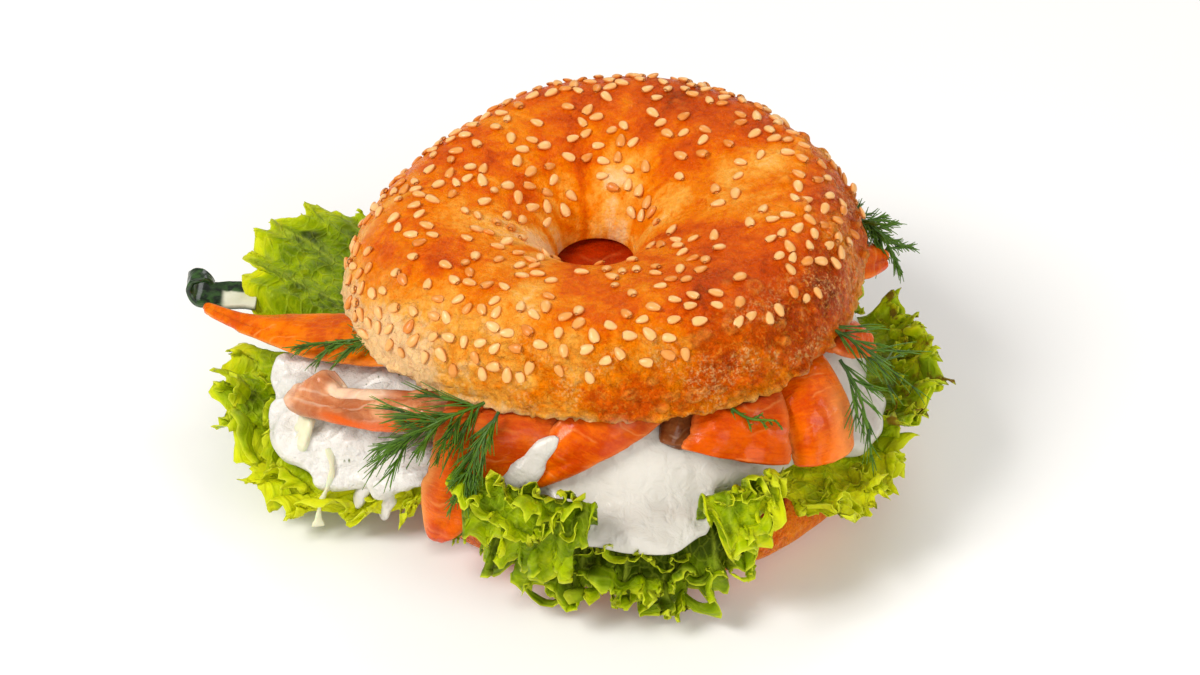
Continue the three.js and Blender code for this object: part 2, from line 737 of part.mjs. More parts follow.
// ---- dill ----
// A sprig is a stem with side shoots that fork into needles: path is the stem.
const DILL = {
  dill_left: {
    path: [[-47, -17, 40.5], [-55, -15, 38.6], [-65, -12, 35]],
    shoots: 4,
    length: 8,
    spread: 34,
    seed: 51,
  },
  dill_front_left: {
    path: [[-29, -38, 40.4], [-37, -42, 39.4], [-45, -43.4, 35.6]],
    shoots: 6,
    length: 10,
    spread: 38,
    seed: 52,
  },
  dill_front_drape: {
    path: [[-26, -42, 41.4], [-30, -47.4, 36.6], [-33, -50.4, 30]],
    shoots: 4,
    length: 8,
    spread: 34,
    seed: 53,
  },
  dill_front: {
    path: [[18, -40, 42.4], [23, -43.4, 41], [28, -43.4, 40.4]],
    shoots: 2,
    length: 4,
    spread: 40,
    seed: 54,
  },
  dill_right: {
    path: [[40, -20, 45.8], [46, -22, 43], [53, -23, 37]],
    shoots: 6,
    length: 10,
    spread: 44,
    seed: 55,
  },
  dill_right_drape: {
    path: [[42, -28, 43.4], [45.4, -33, 39.6], [47.8, -36, 32]],
    shoots: 4,
    length: 7,
    spread: 36,
    seed: 56,
  },
  dill_right_back: {
    path: [[47, 17, 45.8], [52, 17.5, 45], [57, 15, 39]],
    shoots: 6,
    length: 7,
    spread: 54,
    seed: 57,
  },
};
const DILL_THICKNESS = 0.7;

// Draws a flat branch that tapers from its two root points to its tip, and its forks on it.
function addBranch(drawing, roots, { heading, length, forks }) {
  const { points, triangles } = drawing;
  const start = points[roots[0]].clone().lerp(points[roots[1]], 0.5);
  const ahead = new THREE.Vector2(Math.cos(heading), Math.sin(heading));
  const tip = points.push(start.addScaledVector(ahead, length)) - 1;
  const [left, right] = [1, -1].map((side, k) => {
    const chain = [{ t: 0, index: roots[k] }];
    for (const fork of forks.filter((f) => f.side === side)) {
      const half = fork.width / (length * Math.sin(fork.turn));
      const ends = [fork.t - half, fork.t + half].map((t) => {
        const index = points.push(points[roots[k]].clone().lerp(points[tip], t)) - 1;
        chain.push({ t, index });
        return index;
      });
      const forkRoots = side > 0 ? ends : [ends[1], ends[0]];
      addBranch(drawing, forkRoots, { ...fork, heading: heading + side * fork.turn });
    }
    return [...chain, { t: 1, index: tip }];
  });
  let [i, j] = [0, 0];
  while (i + 2 < left.length || j + 2 < right.length) {
    const onLeft = left[i + 1].t <= right[j + 1].t;
    triangles.push([left[i].index, right[j].index, onLeft ? left[++i].index : right[++j].index]);
  }
  triangles.push([left[i].index, right[j].index, tip]);
}

// A drawing given thickness: its face above, its face below, and a wall along every open edge.
function raiseDrawing({ points, triangles }, depth) {
  const count = points.length;
  const key = (a, b) => a * count + b;
  const edges = triangles.flatMap(([a, b, c]) => [[a, b], [b, c], [c, a]]);
  const known = new Set(edges.map(([a, b]) => key(a, b)));
  const index = triangles.flatMap(([a, b, c]) => [a, b, c, count + c, count + b, count + a]);
  for (const [a, b] of edges.filter(([a, b]) => !known.has(key(b, a)))) {
    index.push(b, a, count + a, b, count + a, count + b);
  }
  const above = points.map((p) => v3(p.x, p.y, depth));
  const below = points.map((p) => v3(p.x, p.y, 0));
  return buildGeometry([...above, ...below], index);
}

function drawSprig(run, { shoots, length, spread, seed }) {
  const random = makeRandom(seed);
  const between = (a, b) => mix(a, b, random());
  const needle = (t, side, reach) => {
    return { t, side, turn: between(24, 34) * DEG, length: reach, width: 0.32, forks: [] };
  };
  const forks = Array.from({ length: shoots }, (_, k) => {
    const t = mix(0.28, 0.9, k / Math.max(1, shoots - 1));
    const reach = length * between(0.8, 1.1) * (1 - 0.3 * t);
    const turn = spread * DEG * between(0.8, 1.15);
    const needles = [
      needle(0.3, 1, reach * 0.5),
      needle(0.42, -1, reach * 0.5),
      needle(0.66, 1, reach * 0.36),
    ];
    return { t, side: k % 2 ? 1 : -1, turn, length: reach, width: 0.38, forks: needles };
  });
  const points = [new THREE.Vector2(0, 0.5), new THREE.Vector2(0, -0.5)];
  const drawing = { points, triangles: [] };
  addBranch(drawing, [0, 1], { heading: 0, length: run * 1.15, forks });
  return drawing;
}

// The flat sprig is laid along its stem, with its sides drooping.
function dillSprig(sprig) {
  const stem = alongCurve(sprig.path);
  const run = stem.getLength();
  const geometry = raiseDrawing(drawSprig(run, sprig), DILL_THICKNESS);
  const position = geometry.attributes.position;
  for (let i = 0; i < position.count; i++) {
    const [x, y, z] = [position.getX(i), position.getY(i), position.getZ(i)];
    const t = clamp(x / run);
    const forward = stem.getTangent(t);
    const side = v3(0, 0, 1).cross(forward).normalize();
    const up = forward.clone().cross(side);
    const droop = 0.035 * y * y - 0.5 * Math.sin(0.8 * x + Math.sign(y)) * clamp(Math.abs(y) / 4);
    const p = stem.getPoint(t).addScaledVector(forward, x - t * run).addScaledVector(side, y);
    p.addScaledVector(up, z - droop);
    position.setXYZ(i, p.x, p.y, p.z);
  }
  return geometry;
}

// ---- everything in its place ----
const LOOKS = {
  bagel: { color: 0xc9813a, roughness: 0.5, metalness: 0 },
  lettuce: { color: 0x86a82a, roughness: 0.45, metalness: 0 },
  cream: { color: 0xf2efe8, roughness: 0.4, metalness: 0 },
  salmon: { color: 0xe0672f, roughness: 0.3, metalness: 0 },
  cucumber: { color: 0x49693f, roughness: 0.4, metalness: 0 },
  cabbage: { color: 0xe2dcc0, roughness: 0.5, metalness: 0 },
  dill: { color: 0x2f5c26, roughness: 0.6, metalness: 0 },
};

const group = new THREE.Group();
const placed = [];
function place(name, look, geometry) {
  const clear = cutClear(geometry, placed);
  placed.push(clear);
  const mesh = new THREE.Mesh(clear, new THREE.MeshStandardMaterial(LOOKS[look]));
  mesh.name = name;
  group.add(mesh);
}

const top = bagelTop().rotateX(TOP_PITCH).rotateY(TOP_TILT);
top.translate(TOP_CENTRE.x, TOP_CENTRE.y, TOP_CENTRE.z);
place("bagel_bottom", "bagel", bagelBottom());
place("bagel_top", "bagel", top);
for (const [name, leaf] of Object.entries(LEAVES)) place(name, "lettuce", lettuceLeaf(leaf));
place("cucumber_ribbon", "cucumber", cucumberRibbon());
for (const [name, slice] of Object.entries(SLICES)) place(name, "salmon", salmonSlice(slice));
place("cabbage_shred", "cabbage", cabbageShred());
place("cream_cheese", "cream", creamCheese());
for (const [name, sprig] of Object.entries(DILL)) place(name, "dill", dillSprig(sprig));

// The origin goes under the middle of the whole, on what it rests on.
const middle = new THREE.Box3().setFromObject(group).getCenter(v3());
group.position.set(-middle.x, -middle.y, 0);

export default group;
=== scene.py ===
"""The visual model of a filled sesame bagel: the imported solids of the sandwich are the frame, and each
one is replaced by a fine piece that follows the same shape. Lengths are in millimetres and places are
measured from the axis of the bottom half, until a piece's points are moved into the frame."""

import itertools
import math

import bpy
import numpy as np
from mathutils import Matrix, Vector


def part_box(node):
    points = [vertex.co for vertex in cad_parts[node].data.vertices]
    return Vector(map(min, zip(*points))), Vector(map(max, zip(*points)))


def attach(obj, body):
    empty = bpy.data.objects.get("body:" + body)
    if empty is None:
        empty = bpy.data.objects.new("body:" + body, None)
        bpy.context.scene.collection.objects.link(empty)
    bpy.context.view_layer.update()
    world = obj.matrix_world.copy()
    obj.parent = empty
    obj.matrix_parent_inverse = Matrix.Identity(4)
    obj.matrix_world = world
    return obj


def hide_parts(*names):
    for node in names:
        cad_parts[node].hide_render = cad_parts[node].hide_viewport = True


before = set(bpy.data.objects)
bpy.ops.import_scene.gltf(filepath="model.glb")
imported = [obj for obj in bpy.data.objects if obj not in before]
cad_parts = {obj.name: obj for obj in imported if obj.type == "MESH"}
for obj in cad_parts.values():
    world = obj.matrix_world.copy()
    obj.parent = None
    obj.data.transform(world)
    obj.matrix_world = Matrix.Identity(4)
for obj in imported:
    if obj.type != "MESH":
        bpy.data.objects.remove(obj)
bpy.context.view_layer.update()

DEG = math.pi / 180
MM = 0.001
low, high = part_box("bagel_bottom")
AXIS = np.array([(low.x + high.x) / 2, (low.y + high.y) / 2, 0.0])  # of the bottom half, in metres

# ---- the sandwich's main sizes, as in the solids ----
BAGEL_RADIUS = 53.8
CREST_RADIUS = 37.8
HOLE_RADIUS = 8.5
HOLE_SHIFT = -3.9
TOP_HEIGHT = 17.9
TOP_CENTRE = np.array([-3.5, 7.4, 42.0])
TOP_TILT = -2.9 * DEG
TOP_PITCH = 1.5 * DEG
BOTTOM_HEIGHT = 18.0
BED_HEIGHT = BOTTOM_HEIGHT + 0.4
BEND_RADIUS = 4.6
LOWEST_LEAF = 1.1
SLICE = 2.1
GAP = 0.35


# ---- small tools ----
def mix(a, b, t):
    return a + (b - a) * t


def smooth(x):
    x = np.clip(x, 0, 1)
    return x * x * (3 - 2 * x)


def bump(x, width):
    return np.exp(-((x / width) ** 2))


def make_random(seed):
    """The same repeatable random numbers, 0 to 1, as the solids use."""
    state = seed & 0xFFFFFFFF

    def draw():
        nonlocal state
        state = (state + 0x6D2B79F5) & 0xFFFFFFFF
        t = ((state ^ (state >> 15)) * (1 | state)) & 0xFFFFFFFF
        t = ((t + (((t ^ (t >> 7)) * (61 | t)) & 0xFFFFFFFF)) ^ t) & 0xFFFFFFFF
        return ((t ^ (t >> 14)) & 0xFFFFFFFF) / 4294967296

    return draw


def make_swells(seed, size, count=6):
    """Uneven swells of about the given size: the mean of a few sine waves in random directions."""
    draw = make_random(seed)
    waves = []
    for _ in range(count):
        turn = draw() * 2 * math.pi
        rise = draw() * 2 - 1
        flat = math.sqrt(1 - rise * rise)
        k = 2 * math.pi / (size * (0.7 + 0.7 * draw()))
        waves.append((k * flat * math.cos(turn), k * flat * math.sin(turn), k * rise, draw() * 2 * math.pi))

    def swell(p):
        return sum(np.sin(a * p[..., 0] + b * p[..., 1] + c * p[..., 2] + d) for a, b, c, d in waves) / count

    return swell


def hashed(cells, seed):
    """A repeatable number, 0 to 1, for each whole-numbered cell."""
    h = (cells * np.array([73856093, 19349663, 83492791])).sum(-1) + seed * 2654435761
    h = (h ^ (h >> 13)) * 1274126177
    return ((h ^ (h >> 16)) & 0xFFFF) / 65535.0


def noise(p, size, seed=0):
    """Smooth noise, -1 to 1, with bumps of about the given size."""
    q = p / size
    cell = np.floor(q).astype(np.int64)
    f = smooth(q - cell)
    total = 0
    for corner in itertools.product((0, 1), repeat=3):
        weight = np.prod(np.where(corner, f, 1 - f), -1)
        total = total + weight * hashed(cell + np.array(corner), seed)
    return total * 2 - 1


def creases(p, size, seed):
    """Noise, -1 to 1, that is highest along sharp lines."""
    return 1 - 2 * np.abs(noise(p, size, seed))


def rough(p, size, octaves=3, seed=0):
    """Noise with finer noise on it."""
    return sum(noise(p + 17.3 * k, size / 2**k, seed + k) / 2**k for k in range(octaves)) / 1.6


def blister(p, size, share, seed):
    """1 in the middle of a round blister and 0 outside, in a share of the places."""
    q = p / size
    cell = np.floor(q).astype(np.int64)
    most = np.zeros(q.shape[:-1])
    for corner in itertools.product((-1, 0, 1), repeat=3):
        at = cell + np.array(corner)
        middle = at + np.stack([hashed(at, seed + k) for k in range(3)], -1)
        away = np.linalg.norm((q - middle) * [1, 1, 1.3], axis=-1)
        wide = 0.3 + 0.3 * hashed(at, seed + 4)
        most = np.maximum(most, np.where(hashed(at, seed + 3) < share, 1 - away / wide, 0))
    return most


def along_line(x, y=0.0, z=0.0):
    """A point for each number, to read noise along a line."""
    return np.stack(np.broadcast_arrays(np.asarray(x, float), y, z), -1)


def read_round(table, azimuth):
    """Reads rows of (degrees, value, value...) at any azimuths, round the full circle."""
    rows = np.array(table, float)
    once_round = np.array([360, *[0] * (rows.shape[1] - 1)])
    rows = np.vstack([rows[-1] - once_round, rows, rows[0] + once_round])
    a = np.mod(azimuth, 360)
    at = np.clip(np.searchsorted(rows[:, 0], a, side="right") - 1, 0, len(rows) - 2)
    t = smooth((a - rows[at, 0]) / (rows[at + 1, 0] - rows[at, 0]))
    return [mix(rows[at, k], rows[at + 1, k], t) for k in range(1, rows.shape[1])]


def read_along(values, t):
    """Reads evenly spaced values at t from 0 to 1."""
    values = np.array(values, float)
    at = np.clip(t, 0, 1) * (len(values) - 1)
    i = np.minimum(np.floor(at).astype(int), len(values) - 2)
    return mix(values[i], values[i + 1], smooth(at - i))


def through(points, t):
    """A centripetal Catmull-Rom curve through the points, at t from 0 to 1."""
    points = np.array(points, float)
    t = np.atleast_1d(np.asarray(t, float))
    ends = np.vstack([2 * points[0] - points[1], points, 2 * points[-1] - points[-2]])
    at = np.clip(t, 0, 1) * (len(points) - 1)
    i = np.minimum(np.floor(at).astype(int), len(points) - 2)
    w = (at - i)[..., None]
    p0, p1, p2, p3 = (ends[i + k] for k in range(4))
    legs = ((p0, p1), (p1, p2), (p2, p3))
    d0, d1, d2 = (np.linalg.norm(b - a, axis=-1, keepdims=True) ** 0.5 for a, b in legs)
    t1 = ((p1 - p0) / d0 - (p2 - p0) / (d0 + d1) + (p2 - p1) / d1) * d1
    t2 = ((p2 - p1) / d1 - (p3 - p1) / (d1 + d2) + (p3 - p2) / d2) * d1
    return p1 + t1 * w + (3 * (p2 - p1) - 2 * t1 - t2) * w**2 + (2 * (p1 - p2) + t1 + t2) * w**3


def unit(v):
    return v / np.maximum(np.linalg.norm(v, axis=-1, keepdims=True), 1e-9)


def grid(columns, rows):
    """The shares, 0 to 1, of the way along the columns and along the rows of a grid."""
    return np.meshgrid(np.linspace(0, 1, columns), np.linspace(0, 1, rows), indexing="ij")


# ---- meshes ----
def make_piece(name, points, faces, values, replaces, slot, material):
    """A smooth-shaded piece of the sandwich. faces is a list of arrays of quads or triangles, and
    values are numbers per point that the material reads by name."""
    mesh = bpy.data.meshes.new(name)
    points = np.asarray(points, float).reshape(-1, 3)
    flat = np.concatenate([f.ravel() for f in faces]).astype(np.int32)
    sizes = np.concatenate([np.full(len(f), f.shape[1]) for f in faces])
    mesh.vertices.add(len(points))
    mesh.vertices.foreach_set("co", (points * MM + AXIS).astype(np.float32).ravel())
    mesh.loops.add(len(flat))
    mesh.loops.foreach_set("vertex_index", flat)
    mesh.polygons.add(len(sizes))
    mesh.polygons.foreach_set("loop_start", np.concatenate([[0], np.cumsum(sizes)[:-1]]).astype(np.int32))
    mesh.update(calc_edges=True)
    mesh.shade_smooth()
    for key, numbers in values.items():
        numbers = np.asarray(numbers, np.float32)
        kind = "FLOAT_VECTOR" if numbers.shape[-1:] == (3,) else "FLOAT"
        layer = mesh.attributes.new(key, kind, "POINT")
        layer.data.foreach_set("vector" if kind == "FLOAT_VECTOR" else "value", numbers.ravel())
    piece = bpy.data.objects.new(name, mesh)
    bpy.context.collection.objects.link(piece)
    mesh.materials.append(material)
    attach(piece, "root")
    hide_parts(replaces)


def grid_quads(columns, rows, wrap_columns=False, wrap_rows=False):
    """Quads of a grid of points stored column by column."""
    i = np.arange(columns if wrap_columns else columns - 1)[:, None]
    j = np.arange(rows if wrap_rows else rows - 1)[None, :]
    right, up = (i + 1) % columns, (j + 1) % rows
    corners = (i * rows + j, right * rows + j, right * rows + up, i * rows + up)
    return np.stack(np.broadcast_arrays(*corners), -1).reshape(-1, 4)


def closed_sheet(middle, thickness):
    """Points and quads of a sheet with thickness round a grid of middle points."""
    along = np.gradient(middle, axis=0)
    across = np.gradient(middle, axis=1)
    normal = unit(np.cross(along, across))
    half = np.asarray(thickness)[..., None] / 2 * normal
    columns, rows = middle.shape[:2]
    count = columns * rows
    index = np.arange(count).reshape(columns, rows)
    face = grid_quads(columns, rows)
    rim = np.concatenate([index[:-1, 0], index[-1, :-1], index[:0:-1, -1], index[0, :0:-1]])
    after = np.roll(rim, -1)
    wall = np.stack([after, rim, rim + count, after + count], -1)
    points = np.concatenate([(middle + half).reshape(-1, 3), (middle - half).reshape(-1, 3)])
    return points, [face, face[:, ::-1] + count, wall]


def ball(rings, sides):
    """Polar angles and longitudes of a ball's points, and its faces. Its two poles come last."""
    polar = np.linspace(0, math.pi, rings + 2)[1:-1, None]
    lon = np.linspace(0, 2 * math.pi, sides, endpoint=False)[None, :]
    ring = np.arange(sides)
    after = (ring + 1) % sides
    count = rings * sides
    last = count - sides
    near = np.stack([after, ring, np.full(sides, count)], -1)
    far = np.stack([ring + last, after + last, np.full(sides, count + 1)], -1)
    return polar, lon, grid_quads(rings, sides, False, True), np.concatenate([near, far])


def both(values):
    """The same values for both faces of a sheet."""
    flat = values.reshape(-1, 3) if values.ndim == 3 else values.ravel()
    return np.concatenate([flat, flat])


class Heap:
    """Collects the parts of one piece."""

    def __init__(self):
        self.points, self.faces, self.values, self.count = [], [], {}, 0

    def add(self, points, faces, values):
        self.points.append(points)
        self.faces += [f + self.count for f in faces]
        self.count += len(points)
        for key, numbers in values.items():
            self.values.setdefault(key, []).append(numbers)

    def make(self, name, replaces, slot, material):
        values = {key: np.concatenate(numbers) for key, numbers in self.values.items()}
        make_piece(name, np.concatenate(self.points), self.faces, values, replaces, slot, material)


# ---- materials ----
class Number:
    """A number in a material that can be reckoned with: each sign adds a math node."""

    def __init__(self, paint, socket):
        self.paint, self.socket = paint, socket

    def __add__(self, other):
        return self.paint.math("ADD", self, other)

    def __sub__(self, other):
        return self.paint.math("SUBTRACT", self, other)

    def __mul__(self, other):
        return self.paint.math("MULTIPLY", self, other)


class Paint:
    """Builds a Principled material from nodes. Keywords name the shader's sockets, and colours are
    given as the usual 0 to 255 screen values."""

    def __init__(self, name, **sockets):
        self.material = bpy.data.materials.new(name)
        self.material.use_nodes = True
        self.tree = self.material.node_tree
        self.place = self.tree.nodes.new("ShaderNodeTexCoord").outputs["Object"]
        self.finish(**sockets)

    def finish(self, **sockets):
        shader = self.tree.nodes["Principled BSDF"]
        for key, value in sockets.items():
            self.set(shader.inputs[key.replace("_", " ")], value)
        return self.material

    def set(self, socket, value):
        value = value.socket if isinstance(value, Number) else value
        if isinstance(value, bpy.types.NodeSocket):
            self.tree.links.new(value, socket)
        elif socket.type == "RGBA":
            socket.default_value = rgb(*value)
        else:
            socket.default_value = value

    def node(self, kind, inputs, **settings):
        made = self.tree.nodes.new(kind)
        for key, value in settings.items():
            setattr(made, key, value)
        for key, value in inputs.items():
            self.set(made.inputs[key], value)
        return made

    def value(self, name):
        """Reads a number that each point of the mesh carries."""
        return Number(self, self.node("ShaderNodeAttribute", {}, attribute_name=name).outputs["Fac"])

    def vector(self, name):
        return self.node("ShaderNodeAttribute", {}, attribute_name=name).outputs["Vector"]

    def math(self, operation, a, b, clamp=False):
        made = self.node("ShaderNodeMath", {0: a, 1: b}, operation=operation, use_clamp=clamp)
        return Number(self, made.outputs[0])

    def step(self, value, start, end, low=0.0, high=1.0):
        """A number that turns smoothly from low to high as value goes from start to end."""
        inputs = {"Value": value, "From Min": start, "From Max": end, "To Min": low, "To Max": high}
        made = self.node("ShaderNodeMapRange", inputs, interpolation_type="SMOOTHSTEP")
        return Number(self, made.outputs[0])

    def spots(self, size, detail=2.0, roughness=0.5, distortion=0.0, place=None):
        """Noise, about 0.3 to 0.7, with features of the given size in millimetres."""
        inputs = self.texture_place(size, place)
        inputs |= {"Detail": detail, "Roughness": roughness, "Distortion": distortion}
        return Number(self, self.node("ShaderNodeTexNoise", inputs).outputs["Fac"])

    def cells(self, size, feature="F1", place=None):
        made = self.node("ShaderNodeTexVoronoi", self.texture_place(size, place), feature=feature)
        return Number(self, made.outputs["Distance"])

    def texture_place(self, size, place):
        """A place that a mesh carries is in millimetres, and the object's own is in metres."""
        return {"Vector": place or self.place, "Scale": 1 / size if place else 1 / (size * MM)}

    def stretch(self, place, scale):
        return self.node("ShaderNodeMapping", {"Vector": place, "Scale": scale}).outputs[0]

    def blend(self, factor, a, b):
        made = self.node("ShaderNodeMix", {}, data_type="RGBA")
        for index, value in ((0, factor), (6, a), (7, b)):
            self.set(made.inputs[index], value)
        return made.outputs[2]

    def ramp(self, value, *stops):
        """A colour for each value. Each stop is a value and the screen colour there."""
        made = self.node("ShaderNodeValToRGB", {"Fac": value})
        elements = made.color_ramp.elements
        while len(elements) < len(stops):
            elements.new(0.5)
        for element, (at, *colour) in zip(elements, stops):
            element.position = at
            element.color = rgb(*colour)
        return made.outputs["Color"]

    def relief(self, *layers):
        """Heights, each with its depth in millimetres, one on top of the other."""
        inputs = {}
        for height, depth in layers:
            inputs |= {"Height": height, "Distance": depth * MM, "Strength": 1.0}
            inputs["Normal"] = self.node("ShaderNodeBump", inputs).outputs["Normal"]
        return inputs["Normal"]


def rgb(red, green, blue):
    """The colour that a renderer needs for a colour given in screen values."""
    shares = [c / 255 for c in (red, green, blue)]
    return (*(((c + 0.055) / 1.055) ** 2.4 if c > 0.04 else c / 12.92 for c in shares), 1.0)


def crust_material():
    """Egg-washed crust: brown is how dark its bake is, with painted light and shade in it, crumb shows
    the bare cut dough, painted shade darkens the hollows of the wrinkles and the glints are painted
    highlights.
    """
    paint = Paint(
        "crust", IOR=1.45, Specular_IOR_Level=0.35, Specular_Tint=(255, 160, 40),
        Subsurface_Weight=0.12, Subsurface_Scale=1.2 * MM, Subsurface_Radius=(1.0, 0.45, 0.1),
        Sheen_Weight=0.2, Sheen_Roughness=0.4, Sheen_Tint=(255, 140, 20),
    )
    wrinkled, crumb = paint.value("wrinkled"), paint.value("crumb")
    mottle = paint.spots(6.5, 5, 0.62, 0.7)
    fine = paint.spots(1.1, 6, 0.7)
    scorch = paint.step(paint.spots(5.5, 6, 0.68, 1.2), 0.54, 0.66)
    brown = paint.value("brown") + (mottle - 0.5) * 0.75 + (fine - 0.5) * 0.48 + scorch * 0.1
    skin = paint.ramp(
        brown,
        (0.0, 255, 210, 150), (0.22, 255, 176, 66), (0.42, 244, 130, 0),
        (0.62, 226, 90, 0), (0.82, 194, 62, 0), (1.0, 136, 40, 0),
    )
    dough = paint.blend(paint.spots(1.2, 4), (238, 205, 150), (252, 232, 190))
    colour = paint.blend(crumb, skin, dough)
    wrinkle = paint.spots(2.0, 5, 0.65, 1.0)
    flakes = paint.step(paint.spots(1.0, 5, 0.72, 0.8), 0.53, 0.62)
    flakes = flakes * paint.step(wrinkled, 0.0, 0.8, 0.25, 1.0)
    colour = paint.blend(flakes * 0.4, colour, (255, 176, 60))
    # painted shade in the hollows of the wrinkles
    wrinkle_shade = paint.step(wrinkle, 0.44, 0.36) * paint.step(wrinkled, 0.0, 0.8, 0.2, 1.0)
    colour = paint.blend(wrinkle_shade * 0.35, colour, (206, 66, 0))
    colour = paint.blend(paint.value("popped") * 0.5, colour, (252, 172, 70))
    glints = wrinkled * paint.step(paint.spots(8, 3, 0.5, 0.4), 0.48, 0.58)
    glints = glints * paint.step(paint.spots(0.7, 4, 0.7), 0.5, 0.6)
    colour = paint.blend(glints * 0.65, colour, (255, 200, 128))
    normal = paint.relief((wrinkle * wrinkled, 1.1), (wrinkle, 0.5), (fine, 0.5))
    gloss = paint.step(paint.spots(4, 4, 0.6), 0.42, 0.6, 0.24, 0.42)
    roughness = paint.math("MAXIMUM", gloss, crumb * 0.85)
    return paint.finish(Base_Color=colour, Roughness=roughness, Normal=normal)


def seed_material():
    """Sesame: tone is how dark a seed is baked, foot is 1 where it meets the crust."""
    paint = Paint("sesame", IOR=1.45, Specular_IOR_Level=0.4, Coat_Weight=0.3, Coat_Roughness=0.2)
    tone = paint.value("tone") + paint.spots(1.0, 3) * 0.3
    colour = paint.ramp(
        tone,
        (0.1, 248, 198, 128), (0.5, 238, 168, 88), (0.8, 228, 142, 54), (1.0, 212, 112, 22),
    )
    # the foot turns crust orange: egg wash baked onto it, and painted shade on the seed's lower sides
    colour = paint.blend(paint.value("foot") * 0.75, colour, (220, 124, 28))
    normal = paint.relief((paint.spots(0.5, 2), 0.08))
    return paint.finish(Base_Color=colour, Roughness=0.4, Normal=normal)


def leaf_material():
    """Curly lettuce: rim is 1 at the free edge, rib 1 on a main vein, lie the place on the leaf."""
    paint = Paint(
        "lettuce", IOR=1.42, Specular_IOR_Level=0.4, Specular_Tint=(236, 255, 110),
        Subsurface_Weight=0.2, Subsurface_Scale=1 * MM, Subsurface_Radius=(0.7, 1.0, 0.15),
    )
    lie = paint.vector("lie")
    net = paint.step(paint.cells(2.4, "DISTANCE_TO_EDGE", lie), 0.0, 0.14, 1.0, 0.0)
    patch = paint.spots(8, 3, 0.55, 0.3, lie)
    mottle = paint.spots(2.0, 4, 0.65, 0.5, lie)
    # painted light and shade: the light value, with random patches and mottle
    light_and_mottle = paint.value("light") + (patch - 0.5) * 0.9 + (mottle - 0.5) * 0.75
    colour = paint.ramp(
        light_and_mottle,
        (0.0, 48, 66, 0), (0.35, 112, 138, 0), (0.65, 160, 180, 0), (1.0, 214, 218, 20),
    )
    veins = paint.math("MAXIMUM", net * 0.4, paint.value("rib"))
    colour = paint.blend(veins * 0.4, colour, (190, 206, 60))
    # the paler rim along the free edge: partly the leaf's own colour, partly a painted highlight
    colour = paint.blend(paint.value("rim") * 0.7, colour, (212, 222, 50))
    bruise = paint.value("bruise") * paint.step(paint.spots(4, 4, 0.6), 0.5, 0.62)
    colour = paint.blend(bruise, colour, (120, 84, 22))
    normal = paint.relief((net, 0.12), (mottle, 0.45))
    return paint.finish(Base_Color=colour, Roughness=0.36, Normal=normal)


def cream_material():
    """Cream cheese: herbs is 1 where it is lumpy and flecked, and 0 where it is smooth."""
    paint = Paint(
        "cream_cheese", IOR=1.4, Coat_Weight=0.4, Coat_Roughness=0.2,
        Subsurface_Weight=0.15, Subsurface_Scale=1.5 * MM, Subsurface_Radius=(1.0, 0.8, 0.6),
    )
    herbs = paint.value("herbs")
    veil = paint.spots(9, 4, 0.55)
    plain = paint.blend(veil, (206, 201, 191), (226, 222, 213))
    colour = paint.blend(herbs, plain, paint.blend(veil, (220, 216, 208), (248, 245, 239)))
    squeezed = paint.stretch(paint.place, (1000, 1000, 380))
    fleck = paint.step(paint.cells(2.4, place=squeezed), 0.09, 0.16, 1.0, 0.0)
    rare = paint.step(paint.spots(7, 2), 0.54, 0.62) * herbs
    colour = paint.blend(fleck * rare, colour, (88, 104, 40))
    curds = paint.spots(1.6, 4, 0.65) * herbs
    normal = paint.relief((paint.spots(3.4, 4, 0.5, 0.6), 0.8), (curds, 0.7))
    roughness = paint.step(veil, 0.4, 0.6, 0.3, 0.45)
    return paint.finish(Base_Color=colour, Roughness=roughness, Normal=normal)


def salmon_material(name, deep, light, fat, lengthwise=False):
    """Smoked salmon: bands of fat run across each slice, or along it. lie is (across, along) it, and
    pale, warm and dark are how fatty, orange or brown it is. pale is also a painted highlight on the
    right fold, and dark is also painted shade under the top half and in the rolled slice's hollows."""
    paint = Paint(
        name, IOR=1.42, Specular_IOR_Level=0.3, Specular_Tint=(255, 150, 70), Coat_Roughness=0.14,
        Subsurface_Weight=0.2, Subsurface_Scale=1.5 * MM, Subsurface_Radius=(1.0, 0.35, 0.1),
    )
    lie = paint.vector("lie")
    parts = paint.node("ShaderNodeSeparateXYZ", {0: lie}).outputs
    side, per_mm = (parts[0], 0.34) if lengthwise else (parts[1], 0.16)
    run = Number(paint, side) * per_mm + paint.spots(14, 3, 0.5, 0, lie) * 2.4
    band = paint.step(paint.math("PINGPONG", run, 0.5), 0.0, 0.09, 1.0, 0.0)
    flesh = paint.blend(paint.step(paint.spots(8, 5, 0.65, 0.5), 0.38, 0.62), deep, light)
    stretched = paint.stretch(lie, (0.9, 0.25, 1) if lengthwise else (0.22, 0.9, 1))
    fibre = paint.spots(1.0, 4, 0.6, 0.6, stretched)
    flesh = paint.blend(paint.step(fibre, 0.48, 0.66, 0.0, 0.5), flesh, light)
    flesh = paint.blend(paint.step(fibre, 0.5, 0.34, 0.0, 0.45), flesh, deep)
    band = band * paint.step(paint.spots(6, 2), 0.4, 0.62)
    flesh = paint.blend(band * 0.4, flesh, fat)
    pale = paint.math("MULTIPLY", paint.value("pale"), 0.8, clamp=True)
    flesh = paint.blend(pale, flesh, fat)
    flesh = paint.blend(paint.value("warm"), flesh, (226, 92, 10))
    # dark is brown flesh, and painted shade under the top half and in the rolled slice's hollows
    flesh = paint.blend(paint.value("dark"), flesh, (146, 74, 42))
    soft, pores = paint.spots(3.5, 3, 0.5, 0.3), paint.spots(0.7, 3)
    normal = paint.relief((soft, 0.4), (fibre, 0.25), (pores, 0.14))
    roughness = paint.step(paint.spots(2.2, 3), 0.4, 0.65, 0.24, 0.5)
    coat = paint.step(paint.spots(5, 3), 0.47, 0.6, 0.04, 0.45)
    return paint.finish(Base_Color=flesh, Roughness=roughness, Normal=normal, Coat_Weight=coat)


